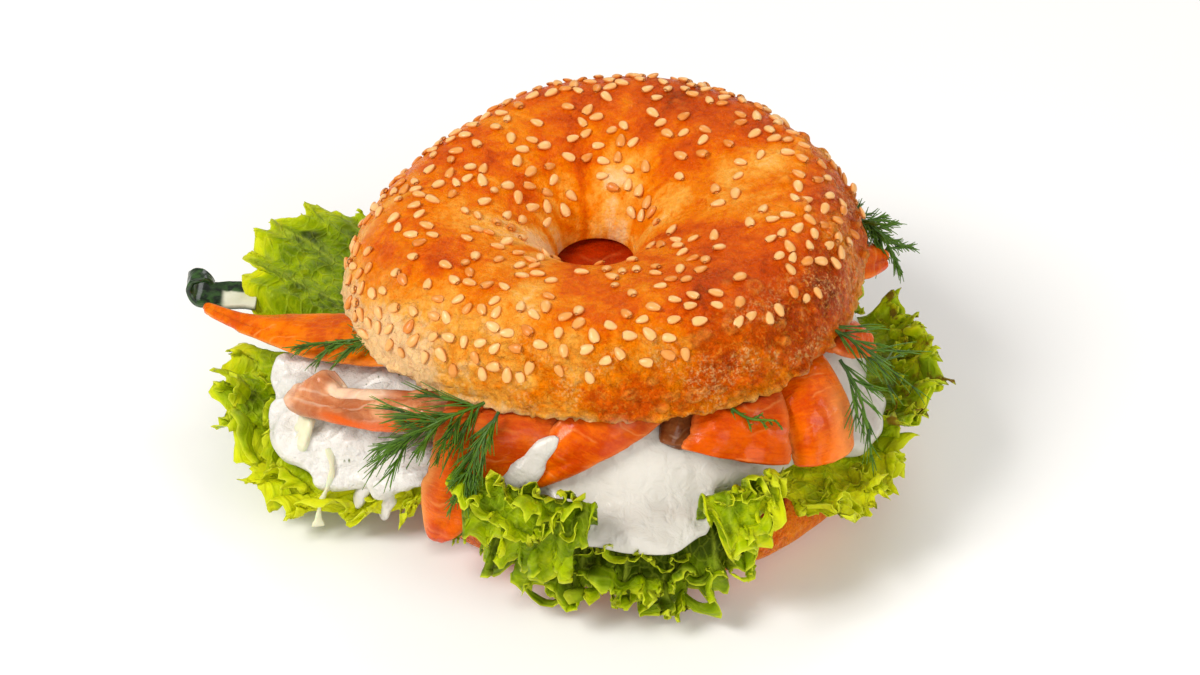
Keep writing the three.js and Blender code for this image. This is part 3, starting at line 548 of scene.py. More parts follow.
def dill_material():
    paint = Paint("dill", IOR=1.4)
    patch = paint.step(paint.spots(6, 3, 0.6), 0.35, 0.65)
    colour = paint.blend(patch, (16, 42, 4), (66, 104, 12))
    colour = paint.blend(paint.value("tip"), colour, (92, 134, 24))
    normal = paint.relief((paint.spots(0.6, 2), 0.05))
    return paint.finish(Base_Color=colour, Roughness=0.38, Normal=normal)


def cucumber_material():
    paint = Paint("cucumber", IOR=1.38, Coat_Weight=0.5, Coat_Roughness=0.15)
    streak = paint.step(paint.spots(2.2, 4, 0.6, 0.5), 0.4, 0.62)
    rind = paint.blend(streak, (8, 26, 6), (50, 84, 34))
    flesh = paint.blend(paint.spots(3, 3), (206, 208, 176), (234, 232, 214))
    colour = paint.blend(paint.value("rind"), flesh, rind)
    normal = paint.relief((paint.spots(1.2, 3), 0.2))
    return paint.finish(Base_Color=colour, Roughness=0.32, Normal=normal)


def cabbage_material():
    paint = Paint(
        "cabbage", IOR=1.4, Coat_Weight=0.3, Coat_Roughness=0.2,
        Subsurface_Weight=0.25, Subsurface_Scale=2 * MM,
    )
    colour = paint.blend(paint.spots(3, 3), (216, 214, 172), (238, 236, 208))
    normal = paint.relief((paint.spots(1.0, 2), 0.1))
    return paint.finish(Base_Color=colour, Roughness=0.35, Normal=normal)


# ---- bagel halves ----
crust_swells = make_swells(11, 26)
crust_dents = make_swells(12, 11)
OUT_OF_ROUND = [[0.011, 0.022], [-0.027, -0.032], [0.015, 0.009], [0, 0.01]]
SEAM_ANGLE = 97 * DEG


def out_of_round(angle):
    pairs = enumerate(OUT_OF_ROUND, 2)
    return sum(a * np.cos(k * angle) + b * np.sin(k * angle) for k, (a, b) in pairs)


def seam_relief(angle):
    off = np.mod(angle - SEAM_ANGLE + 3 * math.pi, 2 * math.pi) - math.pi
    return 1.4 * bump(off + 0.42, 0.3) - 1.3 * bump(off, 0.1)


def crust_point(angle, turn):
    """A point of the top half's crust, from 0 at the outer cut edge to pi at the hole."""
    angle, turn = np.broadcast_arrays(np.asarray(angle, float), np.asarray(turn, float))
    c, s = np.cos(turn), np.maximum(0, np.sin(turn))
    outside = c > 0
    width = np.where(outside, BAGEL_RADIUS - CREST_RADIUS, CREST_RADIUS - HOLE_RADIUS)
    radius = CREST_RADIUS + width * c
    radius = radius * np.where(outside, 1 + out_of_round(angle) * c, 1)
    height = TOP_HEIGHT * (1 + 0.048 * np.sin(angle) - 0.014 * np.cos(2 * angle))
    p = np.stack([radius * np.cos(angle), radius * np.sin(angle), height * s**1.04], -1)
    p[..., 0] += HOLE_SHIFT * np.maximum(0, -c)
    relief = (0.8 * crust_swells(p) + 0.3 * crust_dents(p)) * s
    inward = np.where(outside, 0, seam_relief(angle) * s**0.5 * -c)
    out = relief * c - inward
    p[..., 0] += out * np.cos(angle)
    p[..., 1] += out * np.sin(angle)
    p[..., 2] += relief * s
    return p


def crust_frame(angle, turn, step=0.02):
    east = unit(crust_point(angle + step, turn) - crust_point(angle - step, turn))
    down = unit(crust_point(angle, turn - step) - crust_point(angle, turn + step))
    normal = unit(np.cross(down, east))
    return crust_point(angle, turn), east, normal


def place_top(p):
    """Tilts the top half onto the filling."""
    tilt = Matrix.Rotation(TOP_TILT, 3, "Y") @ Matrix.Rotation(TOP_PITCH, 3, "X")
    return p @ np.array(tilt).T + TOP_CENTRE


def facing(angle, degrees, width):
    """1 in the given direction, less away from it."""
    return bump(np.mod(angle / DEG - degrees + 540, 360) - 180, width)


def crust_detail(p, angle, turn):
    """Blisters and wrinkles on the crust, most on its low front, and a crumbly cut edge."""
    low_front = wrinkled_part(angle, turn)
    side = smooth(np.sin(turn) / 0.25)
    blisters = np.maximum(0, rough(p, 3.4, 2, 5)) ** 1.3
    relief = 0.3 * rough(p, 6, 3, 3) + 0.16 * rough(p, 2.2, 2, 6)
    relief = relief + low_front * (1.0 * blisters + 0.45 * rough(p, 2.4, 2, 7) - 0.3)
    ragged = (1.1 * rough(p, 2.6, 3, 9) + 0.8 * (0.6 - 2 * np.abs(noise(p, 1.7, 10)))) * bump(turn, 0.17)
    return (relief + popped(p, angle, turn)[0]) * side + ragged


def wrinkled_part(angle, turn):
    return facing(angle, -40, 105) * smooth((1.45 - turn) / 0.8)


def popped(p, angle, turn):
    """The height of popped blisters, and where their pale rings are."""
    where = np.maximum(wrinkled_part(angle, turn), facing(angle, 0, 55) * smooth((2.0 - turn) / 0.5))
    b = blister(p, 4.2, 0.45, 91)
    ring = bump(b - 0.42, 0.2) * smooth(b / 0.15)
    return (1.3 * smooth(b / 0.45) - 0.8 * smooth((b - 0.45) / 0.35)) * where, ring * where * (b > 0)


def bake_light_and_shade(p, angle, turn):
    """How brown the top half is, mottled all over, with painted light paling it low at its left back
    and on the hole's back-right wall, and painted shade darkening its right.
    """
    height = p[..., 2] / TOP_HEIGHT
    # painted light: paler on the lit left
    pale = 0.44 * facing(angle, 205, 50) * smooth((0.95 - height) / 0.75) + 0.2 * facing(angle, 208, 65)
    pale = pale + 0.16 * smooth((0.4 - height) / 0.4) * (1 - facing(angle, 205, 50))
    # painted shade: darker on the right, and low at the front right
    dark = 0.13 * facing(angle, 30, 75) + 0.1 * facing(angle, -70, 50) * smooth((0.8 - height) / 0.5)
    wall = smooth((turn - 1.9) / 0.6)
    # painted light on the hole's back-right wall and on its right inner slope, painted shade on its left wall
    inside = wall * (0.36 * facing(angle, 45, 60) - 0.1 * facing(angle, 190, 50))
    inside = inside + 0.2 * facing(angle, 15, 35) * bump(turn - 1.85, 0.35)
    ring = np.stack(np.broadcast_arrays(28 * np.cos(angle), 28 * np.sin(angle), 9 * turn), -1)
    cloud, streak = rough(p, 19, 3, 31), rough(ring, 7, 4, 33)
    brown = 0.58 + 0.26 * cloud + 0.34 * streak + dark + 0.04 * facing(angle, 100, 40) * (1 - wall)
    return brown - pale - inside - 0.16 * bump(turn, 0.1)


def top_crust(material):
    columns, arc, flat = 450, 124, 14
    angle = np.linspace(0, 2 * math.pi, columns, endpoint=False)[:, None]
    turn = math.pi * smooth(np.linspace(0, 1, arc))
    turn = mix(turn, math.pi * np.linspace(0, 1, arc), 0.6)[None, :]
    normal = crust_frame(angle, np.clip(turn, 0.03, math.pi - 0.03))[2]
    bare = crust_point(angle, turn)
    p = bare + normal * crust_detail(bare, angle, turn)[..., None]
    share = np.linspace(0, 1, flat + 2)[1:-1][None, :, None]
    face = mix(p[:, -1:], p[:, :1], share)
    grain = rough(face, 3.2, 3, 21)
    face[..., 2] += 0.35 * grain * smooth(share[..., 0] / 0.1) * smooth((1 - share[..., 0]) / 0.1) + 0.25

    def joined(on_crust, on_cut):
        on_crust = np.broadcast_to(on_crust, p.shape[:2])
        return np.concatenate([on_crust, np.full(face.shape[:2], on_cut)], 1).ravel()

    values = {
        "brown": joined(bake_light_and_shade(p, angle, turn), 0.2),
        "crumb": joined(np.clip(0.7 * bump(turn, 0.05) * (0.3 + noise(p, 2.4, 41)), 0, 1), 1.0),
        "wrinkled": joined(wrinkled_part(angle, turn), 0.0),
        "popped": joined(popped(bare, angle, turn)[1], 0.0),
    }
    points = place_top(np.concatenate([p, face], 1))
    quads = grid_quads(columns, arc + flat, True, True)
    make_piece("crust_top", points, [quads], values, "bagel_top", "bagel_crust", material)


seed_drift = make_swells(13, 20)


def seed_density(p, angle, turn):
    height = np.sin(turn)
    front = facing(angle, -60, 62)
    lowest = mix(0.1, 0.62, front)
    inside = np.where(turn > math.pi / 2, 0.55, 1)
    drift = np.clip(0.6 + 1.3 * seed_drift(p), 0.1, 1)
    return smooth((height - lowest) / 0.25) * inside * (1 - 0.35 * front) * drift


SEED_LENGTH, SEED_WIDTH, SEED_HEIGHT, SEED_SPACING = 3.1, 2.1, 1.2, 2.8
CANDIDATES = 6000


def seed_spots():
    """Where the seeds lie: the solids' own seeds are the first of this list."""
    draw = make_random(2024)
    drawn = np.array([[draw() for _ in range(5)] for _ in range(CANDIDATES)])
    angle, turn = drawn[:, 0] * 2 * math.pi, mix(0.1, 2.75, drawn[:, 1])
    place, east, normal = crust_frame(angle, turn)
    radius = np.hypot(place[:, 0], place[:, 1])
    keep = drawn[:, 2] <= seed_density(place, angle, turn) * radius / BAGEL_RADIUS
    spots = []
    for k in np.flatnonzero(keep):
        near = (np.linalg.norm(place[k] - place[other]) < SEED_SPACING for other in spots)
        if not any(near):
            spots.append(k)
    spin, size = drawn[spots, 3] * 2 * math.pi, mix(0.86, 1.1, drawn[spots, 4])
    return place[spots], east[spots], normal[spots], spin, size, angle[spots], turn[spots]


def sesame_seeds(material):
    place, east, normal, spin, size, angle, turn = seed_spots()
    place = place + normal * crust_detail(place, angle, turn)[:, None]
    along = east * np.cos(spin)[:, None] + np.cross(normal, east) * np.sin(spin)[:, None]
    across = np.cross(normal, along)
    polar, lon, quads, caps = ball(7, 10)
    drop = np.sin(polar) * (1 + 0.3 * np.cos(polar)) / 1.05  # broad at one end, narrow at the other
    x = -np.cos(polar) * SEED_LENGTH / 2 * np.ones_like(lon)
    y = drop**0.9 * np.cos(lon) * SEED_WIDTH / 2
    z = drop**0.8 * np.sin(lon) * SEED_HEIGHT / 2
    shape = np.stack([x, y, z], -1).reshape(-1, 3)
    shape = np.vstack([shape, [-SEED_LENGTH / 2, 0, 0], [SEED_LENGTH / 2, 0, 0]])
    count = len(shape)
    lean = 0.5 * noise(place, 5, 51)[:, None]
    up = unit(normal + lean * along)
    axes = np.stack([unit(along - lean * normal), across, up], 1) * size[:, None, None]
    points = place[:, None] + np.einsum("kj,njd->nkd", shape, axes) + 0.25 * SEED_HEIGHT * normal[:, None]
    offset = (np.arange(len(place)) * count)[:, None, None]
    tone = np.repeat(0.05 + 0.7 * hashed((place * 100).astype(np.int64), 61) ** 2.5, count)
    foot = np.tile(1 - smooth(shape[:, 2] / (0.35 * SEED_HEIGHT)), len(place))
    faces = [(quads[None] + offset).reshape(-1, 4), (caps[None] + offset).reshape(-1, 3)]
    points, values = place_top(points.reshape(-1, 3)), {"tone": tone, "foot": foot}
    make_piece("sesame_seeds", points, faces, values, "bagel_top", "bagel_crust", material)


# The bottom half's outline: (radius, height).
BOTTOM_SECTION = [
    (12.5, 0), (42, 0), (49.5, 2.2), (53.4, 5.8), (54.2, 10), (53, 14),
    (50.6, 17), (47.5, BOTTOM_HEIGHT), (14, BOTTOM_HEIGHT), (11, 14), (10.5, 6),
]


def bottom_crust(material):
    columns, per_side = 320, 6
    corners = np.array(BOTTOM_SECTION, float)
    nxt = np.roll(corners, -1, 0)
    share = np.linspace(0, 1, per_side, endpoint=False)[:, None]
    straight = (corners[:, None] + (nxt - corners)[:, None] * share).reshape(-1, 2)
    soft = straight.copy()
    for _ in range(6):
        soft = (np.roll(soft, 1, 0) + 2 * soft + np.roll(soft, -1, 0)) / 4
    r, z = soft[:, 0], np.where(straight[:, 1] == 0, 0, soft[:, 1])
    angle = np.linspace(0, 2 * math.pi, columns, endpoint=False)[:, None]
    p = np.stack(np.broadcast_arrays(r * np.cos(angle), r * np.sin(angle), z), -1)
    side = smooth((r - 40) / 12) * smooth(z / 4)
    push = 1 + 0.5 * crust_swells(p) * side / BAGEL_RADIUS
    outward = unit(p * [1, 1, 0])
    p[..., :2] *= push[..., None]
    wrinkle = 0.35 * rough(p, 5, 3, 71) * smooth(z / 3)
    top = smooth((z - BOTTOM_HEIGHT + 1) / 1) * smooth((r - 12) / 3)
    p += outward * (wrinkle * (1 - top))[..., None]
    p[..., 2] += 0.3 * rough(p, 2.6, 3, 72) * top
    crumb = top * smooth((50 - np.hypot(p[..., 0], p[..., 1])) / 1.5)
    brown = 0.53 + 0.3 * rough(p * [1, 1, 3], 14, 4, 73) - 0.15 * smooth((4 - z) / 4)
    brown = brown + 0.5 * smooth((rough(p * [1, 1, 0.35], 5, 3, 74) - 0.35) / 0.15) * (1 - top)
    values = {"brown": brown.ravel(), "crumb": crumb.ravel()}
    values |= {"wrinkled": np.full(brown.size, 0.5), "popped": np.zeros(brown.size)}
    quads = grid_quads(columns, len(soft), True, True)
    make_piece("crust_bottom", p, [quads], values, "bagel_bottom", "bagel_crust", material)


# ---- the bed that the filling follows: (azimuth, radius where it turns down, final slope) ----
BED = [
    (17, 51, -10), (22, 51, 8), (60, 51, 14), (110, 51, 14), (137, 50, 4), (143, 46, -13), (168, 46, -13),
    (174, 51, 2), (184, 53, 5), (190, 53, 10), (195, 53, 18), (200, 53, 24), (206, 52.5, 35),
    (212, 51.5, 55), (220, 50.5, 74), (232, 50.5, 84), (296, 50.5, 84), (306, 51, 60), (318, 51, 14),
    (333, 51, 4), (338, 51, -10),
]


def out_from_axis(azimuth, radius, z):
    angle = azimuth * DEG
    return np.stack(np.broadcast_arrays(radius * np.cos(angle), radius * np.sin(angle), z), -1)


def along_bed(azimuth, s, n, bend=None):
    """s is the way along the bed from the axis, n the height above it, square to it."""
    start, slope = bend or read_round(BED, azimuth)
    sense, beta = np.sign(slope), np.abs(slope) * DEG
    turn = np.clip((s - start) / BEND_RADIUS, 0, beta)
    past = np.maximum(0, s - start - BEND_RADIUS * beta)
    lean = np.sin(sense * turn)
    radius = np.minimum(s, start) + BEND_RADIUS * np.sin(turn) + past * np.cos(beta) + n * lean
    drop = BEND_RADIUS * (1 - np.cos(turn)) + past * np.sin(beta)
    return out_from_axis(azimuth, radius, BED_HEIGHT - sense * drop + n * np.cos(turn))


# ---- cream cheese: (azimuth, how far it reaches along the bed, thickness near its rim) ----
CREAM_REACH = [
    (0, 50, 8), (120, 50, 8), (160, 51, 8), (172, 63, 6), (180, 71, 7), (187, 77, 8.5), (196, 77, 8),
    (205, 72, 6), (213, 62, 4), (221, 55, 4), (230, 50, 7), (250, 50, 7), (256, 52.5, 4),
    (262, 54.5, 2.6), (270, 55.5, 2.4), (278, 56, 2.4), (285, 54.5, 3), (291, 50, 7), (318, 50, 7),
    (327, 57, 6), (341, 58, 6), (349, 51, 7),
]
CREAM_HOLE = 13
CREAM_BOTTOM = 2
CREAM_UNDER_BUN = 5.2
cream_lumps = make_swells(21, 15)


def bun_plane(p):
    """The height of the top half's cut face."""
    east, north = p[..., 0] - TOP_CENTRE[0], p[..., 1] - TOP_CENTRE[1]
    return TOP_CENTRE[2] + (math.tan(-TOP_TILT) * east + math.tan(TOP_PITCH) * north)


def cream_cheese(material):
    columns, rows = 520, 80
    # Columns crowd where the cream comes out from between the halves.
    dense = np.linspace(0, 360, 1441)
    crowd = np.cumsum(0.3 + smooth((read_round(CREAM_REACH, dense)[0] - 50) / 6))
    azimuth = np.interp(np.linspace(0, crowd[-1], columns, endpoint=False), crowd, dense)[:, None]
    turn = -np.linspace(0, 2 * math.pi, rows, endpoint=False)[None, :]
    azimuth = np.broadcast_to(azimuth, (columns, rows))
    reach, rim = read_round(CREAM_REACH, azimuth)
    left = smooth((azimuth - 168) / 14) * smooth((232 - azimuth) / 10)
    drips = 1.6 * noise(along_line(azimuth, 3.3), 9, 81) * mix(1, 0.3, facing(azimuth * DEG, 270, 25))
    drips = drips + 1.2 * noise(along_line(azimuth, 7.7), 3.5, 82) * left
    reach = reach + drips

    def squircle(x):
        return np.sign(x) * np.abs(x) ** 0.62

    s = mix(CREAM_HOLE, reach, (squircle(np.cos(turn)) + 1) / 2)
    ceiling = bun_plane(out_from_axis(azimuth, s, 0.0)) - CREAM_UNDER_BUN
    falling = smooth((s - 39) / np.maximum(13, reach - 52))
    thick = mix(ceiling - BED_HEIGHT - CREAM_BOTTOM, rim, falling)
    level = (squircle(np.sin(turn)) + 1) / 2
    p = along_bed(azimuth, s, CREAM_BOTTOM + thick * level)
    shown = smooth((np.sin(turn) + 0.2) / 0.6) * smooth((s - 40) / 10)
    peaks = 2.0 * rough(p, 5, 3, 83) + 1.1 * creases(p, 4.4, 84) + 0.5 * rough(p, 1.8, 2, 86)
    calm = 0.7 * rough(p, 7, 3, 85) + 0.6 * creases(p, 8, 88)
    relief = 1.2 * cream_lumps(p) + mix(calm, peaks, left)
    p = along_bed(azimuth, s, CREAM_BOTTOM + thick * level + relief * shown)
    quads = grid_quads(columns, rows, True, True)
    make_piece("cream", p, [quads], {"herbs": left.ravel()}, "cream_cheese", "cream", material)


# Small lumps of cream on the other pieces: (from, to, half width).
DABS = [
    ((-16, -44.6, 35.4), (-27, -47.9, 24.5), 2.8),
    ((-57, 11, 25.5), (-60, 14, 24.5), 2.6),
    ((-49.5, -32.5, 14), (-51.5, -34, 7), 2.4),
    ((-54, -30, 14), (-56.5, -32, 9), 2.2),
]
CHUNK = ((-66.5, -20, 24), (-69, -25, 18.5), 4.2)


def lump(start, end, width, seed):
    """Points and faces of a small uneven lump that lies along the line from start to end."""
    start, end = np.array(start, float), np.array(end, float)
    polar, lon, quads, caps = ball(22, 28)
    axis = unit(end - start)
    side = unit(np.cross(axis, start + end))
    out = np.cross(side, axis)
    half = np.linalg.norm(end - start) / 2 + width / 2
    across = width * np.sin(polar)
    shape = np.broadcast_arrays(half * np.cos(polar), across * np.cos(lon), across * np.sin(lon))
    shape = np.vstack([np.stack(shape, -1).reshape(-1, 3), [half, 0, 0], [-half, 0, 0]])
    p = (start + end) / 2 + shape @ np.stack([axis, side, 0.5 * out])
    p = p + 0.55 * width * unit(p - (start + end) / 2) * rough(p, 1.3 * width, 3, seed)[:, None]
    return p, [quads, caps]


def cream_dabs(material):
    dabs = Heap()
    for k, dab in enumerate(DABS):
        dabs.add(*lump(*dab, seed=200 + k), {})
    dabs.make("cream_dabs", "cream_cheese", "cream", material)


# ---- lettuce ----
# azimuth: from, to. reach: how far out along the bed. inner: where the leaf begins. margin: the width
# that is ruffled, ruffle: its height, waves: how many. bend replaces the bed's own, and curl gives a
# whole section, of which reach is then the share. tint adds to shade along the leaf. A flounce has
# the shares of the leaf's length and depth where it starts, ends and is rooted, the way it leans
# from upright in degrees, and its width.
USUAL_LEAF = dict(
    inner=0, margin=9, ruffle=2.2, lift=0.8, bend=None, curl=None, flounces=[],
    rows=42, crowd=1.5, curly=1.0, bruise=0.15, shade=0, tint=[0, 0],
)
LEAVES = {
    "front": dict(
        azimuth=(229, 297), waves=8, margin=11, lift=0.9, inner=42, shade=-0.33, seed=31,
        reach=[57.5, 60, 61.5, 65, 67.5, 65, 63.5, 66.5, 67.5, 66.5, 62.5, 57.5],
        flounces=[(0.3, 0.98, 0.9, 75, 5), (0.34, 0.84, 0.72, 62, 6), (0.44, 0.78, 0.58, 40, 4)],
    ),
    "front_left": dict(
        azimuth=(234, 263), waves=4.5, margin=11, ruffle=1.5, lift=0, shade=-0.04, seed=32,
        reach=[0.62, 0.8, 0.86, 1, 0.98, 0.9, 0.62],
        curl=[(48, 20.4), (52.6, 21.4), (54.6, 27), (57, 30.2), (59.8, 28), (61.4, 22), (61.6, 14.6)],
        flounces=[(0.36, 0.98, 0.42, 12, 7), (0.1, 0.96, 0.52, 62, 7), (0.0, 0.9, 0.72, 80, 6)],
    ),
    "front_right": dict(
        azimuth=(284, 304), waves=3.5, margin=11, ruffle=1.5, lift=0, shade=0.16, seed=33,
        reach=[0.62, 0.95, 1, 0.85, 0.66, 0.46],
        curl=[(48, 20.4), (52.6, 21.4), (54.6, 27), (57, 30.2), (59.8, 28), (61.2, 23), (61.2, 17.6)],
        flounces=[(0.2, 0.9, 0.42, 12, 6), (0.02, 0.85, 0.56, 62, 6), (0.05, 0.7, 0.74, 80, 6)],
    ),
    "right_front": dict(
        azimuth=(307, 336), waves=3.5, ruffle=2.4, inner=42, bruise=0.3, shade=0.62, seed=34,
        reach=[58, 65, 66, 66, 65, 62],
        bend=(51, 16),
        flounces=[(0.02, 0.96, 0.84, 30, 5), (0.1, 0.9, 0.62, 20, 4)],
    ),
    "right": dict(
        azimuth=(334, 379), waves=4.5, inner=40, bruise=1.0, shade=0.08, seed=35,
        reach=[61, 66, 67, 65.5, 65, 62],
        flounces=[(0.04, 0.96, 0.86, 35, 6), (0.1, 0.9, 0.7, 15, 5)],
    ),
    "left": dict(
        azimuth=(175, 222), waves=6.5, ruffle=1.8, inner=42, shade=0.2, seed=36,
        reach=[86, 88, 88, 86, 86, 82, 73, 66, 62],
        flounces=[(0.08, 0.8, 0.9, 40, 5), (0.1, 0.98, 0.78, 30, 4.5)],
        tint=[0.1, 0, 0, 0, 0.15, 0.45, 0.5, 0.4],
    ),
    "back_left": dict(
        azimuth=(142, 172.5), waves=3.5, margin=22, ruffle=0.8, inner=38, shade=0.16, seed=37,
        reach=[79, 89, 93, 92, 88.5, 86],
        rows=80, crowd=1.1, curly=0.3,
    ),
    "back": dict(
        azimuth=(21, 139), waves=9, inner=40, rows=28, bruise=0.8, seed=38,
        reach=[58, 62, 60, 64, 61, 63, 58],
    ),
}
LEAF_THICKNESS = 0.4
LEAF_RADIUS, FLOUNCE_RADIUS = 64, 62  # where the run along a leaf and along a flounce is measured
RUN_STEP = 0.29


def measured(curl):
    """A fine line along a section, and how far along it each of its points lies."""
    line = through(curl, np.linspace(0, 1, 400))
    steps = np.linalg.norm(np.diff(line, axis=0), axis=1)
    return line, np.concatenate([[0], np.cumsum(steps)])


def along_section(curl, azimuth, outward, n):
    """outward is the way along the section, n the way out from it, square to it."""
    line, run = measured(curl)
    ahead = unit(np.gradient(line, run, axis=0))
    at = np.clip(outward, 0, run[-1])
    radius, z = (np.interp(at, run, line[:, k]) for k in (0, 1))
    out, up = (np.interp(at, run, ahead[:, k]) for k in (0, 1))
    past = outward - at
    return out_from_axis(azimuth, radius + past * out - n * up, z + past * up + n * out)


def leaf_points(leaf, u, v, teeth=0.0):
    """The middle of a leaf, as in the solids, with a toothed edge."""
    draw = make_random(leaf["seed"])
    phase, second = draw() * 2 * math.pi, draw() * 2 * math.pi
    ruffle, margin, curl = leaf["ruffle"], leaf["margin"], leaf["curl"]
    reach = read_along(leaf["reach"], u) * (measured(curl)[1][-1] if curl else 1)
    s = mix(leaf["inner"], reach + teeth, v)
    free = smooth((s - reach + margin) / margin)
    beat = 2 * math.pi * leaf["waves"] * u + phase
    height = ruffle * free * (np.sin(beat) + 0.25 * np.sin(2.3 * beat + second))
    sway = 0.35 * ruffle * free * np.sin(2 * beat)
    azimuth = mix(*leaf["azimuth"], u) + sway / BAGEL_RADIUS / DEG
    outward = s + 1.2 * free * np.cos(1.7 * beat)
    above = leaf["lift"] + height + 1.25 * ruffle * free
    if curl:
        return along_section(curl, azimuth, outward, above), s, reach
    return along_bed(azimuth, outward, above, leaf["bend"]), s, reach


def frill(p, run, edge, size, height, seed):
    """Folds a leaf in waves along its run, more where edge is nearer 1, until they lap over."""
    along = unit(np.gradient(p, axis=0))
    normal = unit(np.cross(along, np.gradient(p, axis=1)))
    wander = 1.5 * noise(along_line(run, seed + 0.5), 2.2 * size, seed)
    swell = 0.75 + 0.6 * noise(along_line(run, seed + 7.5), 1.7 * size, seed + 1)
    beat = 2 * math.pi * run / size + wander
    lift = height * edge * swell * np.sin(beat)
    lap = 0.5 * size / math.pi * 0.62 * edge * np.sin(2 * beat)
    return p + normal * lift[..., None] - along * lap[..., None]


def tooth_line(run, seed):
    """How far the spiky edge stands out at each place along it."""
    saw = np.abs(np.sin(run * math.pi / 3.0 + 2.2 * noise(along_line(run, seed), 6, seed)))
    small = np.abs(np.sin(run * math.pi / 1.5 + 1.6 * noise(along_line(run, seed + 2.5), 3, seed)))
    lobe = 1.5 * noise(along_line(run, seed + 9.5), 8, seed + 2)
    swell = 0.75 + 0.6 * noise(along_line(run, seed + 5.5), 5, seed + 1)
    return (2.3 * (1 - saw) ** 1.3 + 1.0 * (1 - small) - 1.9) * swell + lobe


def add_sheet(heap, p, s, reach, run, seed, shade, bruise, curly=1.0):
    """Frills and wrinkles one sheet of a leaf. s is how far out it is, and run how far along."""
    edge = np.clip((s - reach + 8) / 8, 0, 1.2)
    calm = 1 - curly
    curly = curly * mix(0.3, 1, smooth(np.minimum(run, run.max() - run) / 4))
    p = frill(p, run, edge**1.2, 8.5, 2.2 * curly**2, seed + 2)
    p = frill(p, run, edge**2, 3.7, 1.0 * curly**0.5, seed + 3)
    p = frill(p, run, edge**4, 1.9, 0.35 * curly**0.3, seed + 8)
    normal = unit(np.cross(np.gradient(p, axis=0), np.gradient(p, axis=1)))
    flat = along_line(0.8 * run + 0.6 * s, 0.8 * s - 0.6 * run, seed)
    dimple, crinkle = creases(flat, 4.2, seed + 4), creases(flat, 1.9, seed + 9)
    relief = mix(0.6, 0.3, calm) * dimple + mix(0.24, 0.3, calm) * crinkle
    relief = relief + mix(0.4, 0.3, calm) * rough(flat, 6, 4, seed + 5)
    p = p + normal * relief[..., None]
    p[..., 2] = np.maximum(p[..., 2], LOWEST_LEAF - 0.6)
    fan = (run + 1.5 * noise(along_line(s, seed), 12, seed + 6)) / 10
    light = 0.14 + 0.42 * edge + 0.18 * dimple + 0.1 * crinkle + 0.16 * noise(p, 9, seed + 7) + shade
    values = {
        "rim": bump(np.maximum(0, reach - s), 0.45),
        "rib": bump(np.mod(fan, 1) - 0.5, 0.04) * smooth((reach - s) / 7),
        "light": light,
        "bruise": bruise * (0.3 + 0.7 * edge),
        "lie": np.stack([run, s, np.full(s.shape, float(seed))], -1),
    }
    thickness = LEAF_THICKNESS * mix(0.35, 1, smooth((reach - s) / 2))
    heap.add(*closed_sheet(p, thickness), {key: both(value) for key, value in values.items()})


def add_flounce(heap, leaf, flounce, seed):
    """A fold that stands out from the leaf."""
    first, last, root, lean, width = flounce
    start, end = leaf["azimuth"]
    whole = (end - start) * DEG * FLOUNCE_RADIUS * (last - first)
    share, v = grid(max(12, int(whole / RUN_STEP)), 22)
    u = mix(first, last, share)
    run = share * whole
    taper = np.sqrt(np.maximum(0.04, 4 * share * (1 - share)))
    tall = 0.8 + 0.5 * noise(along_line(run, seed + 4.4), 9, seed)
    reach = (width * tall + tooth_line(run, seed)) * taper
    out = v * reach
    wander = root + 0.05 * noise(along_line(run, seed), 7, seed)
    base = leaf_points(leaf, u, wander)[0]
    lean = (lean + 24 * noise(along_line(run, seed + 3.3), 8, seed)) * DEG + 0.045 * out**1.5
    outward = out_from_axis(mix(start, end, u), 1.0, 0.0)
    way = outward * np.sin(lean)[..., None] + np.array([0, 0, 1.0]) * np.cos(lean)[..., None]
    shade = 0.05 + 0.5 * leaf["shade"] + read_along(leaf["tint"], u)
    add_sheet(heap, base + way * out[..., None], out, reach, run, seed, shade, leaf["bruise"])


def lettuce_leaf(name, leaf, material):
    leaf = USUAL_LEAF | leaf
    seed, curly, heap = leaf["seed"], leaf["curly"], Heap()
    start, end = leaf["azimuth"]
    whole = (end - start) * DEG * LEAF_RADIUS
    u, v = grid(int(whole / RUN_STEP), leaf["rows"])
    v = 1 - (1 - v) ** leaf["crowd"]
    run = u * whole
    teeth = tooth_line(run, seed) * mix(0.35, 1, curly)
    shade = leaf["shade"] + read_along(leaf["tint"], u)
    p, s, reach = leaf_points(leaf, u, v, teeth)
    add_sheet(heap, p, s, reach + teeth, run, seed, shade, leaf["bruise"], curly)
    for k, flounce in enumerate(leaf["flounces"], 1):
        add_flounce(heap, leaf, flounce, seed + 11 * k)
    heap.make("leaf_" + name, "lettuce_" + name, "lettuce", material)


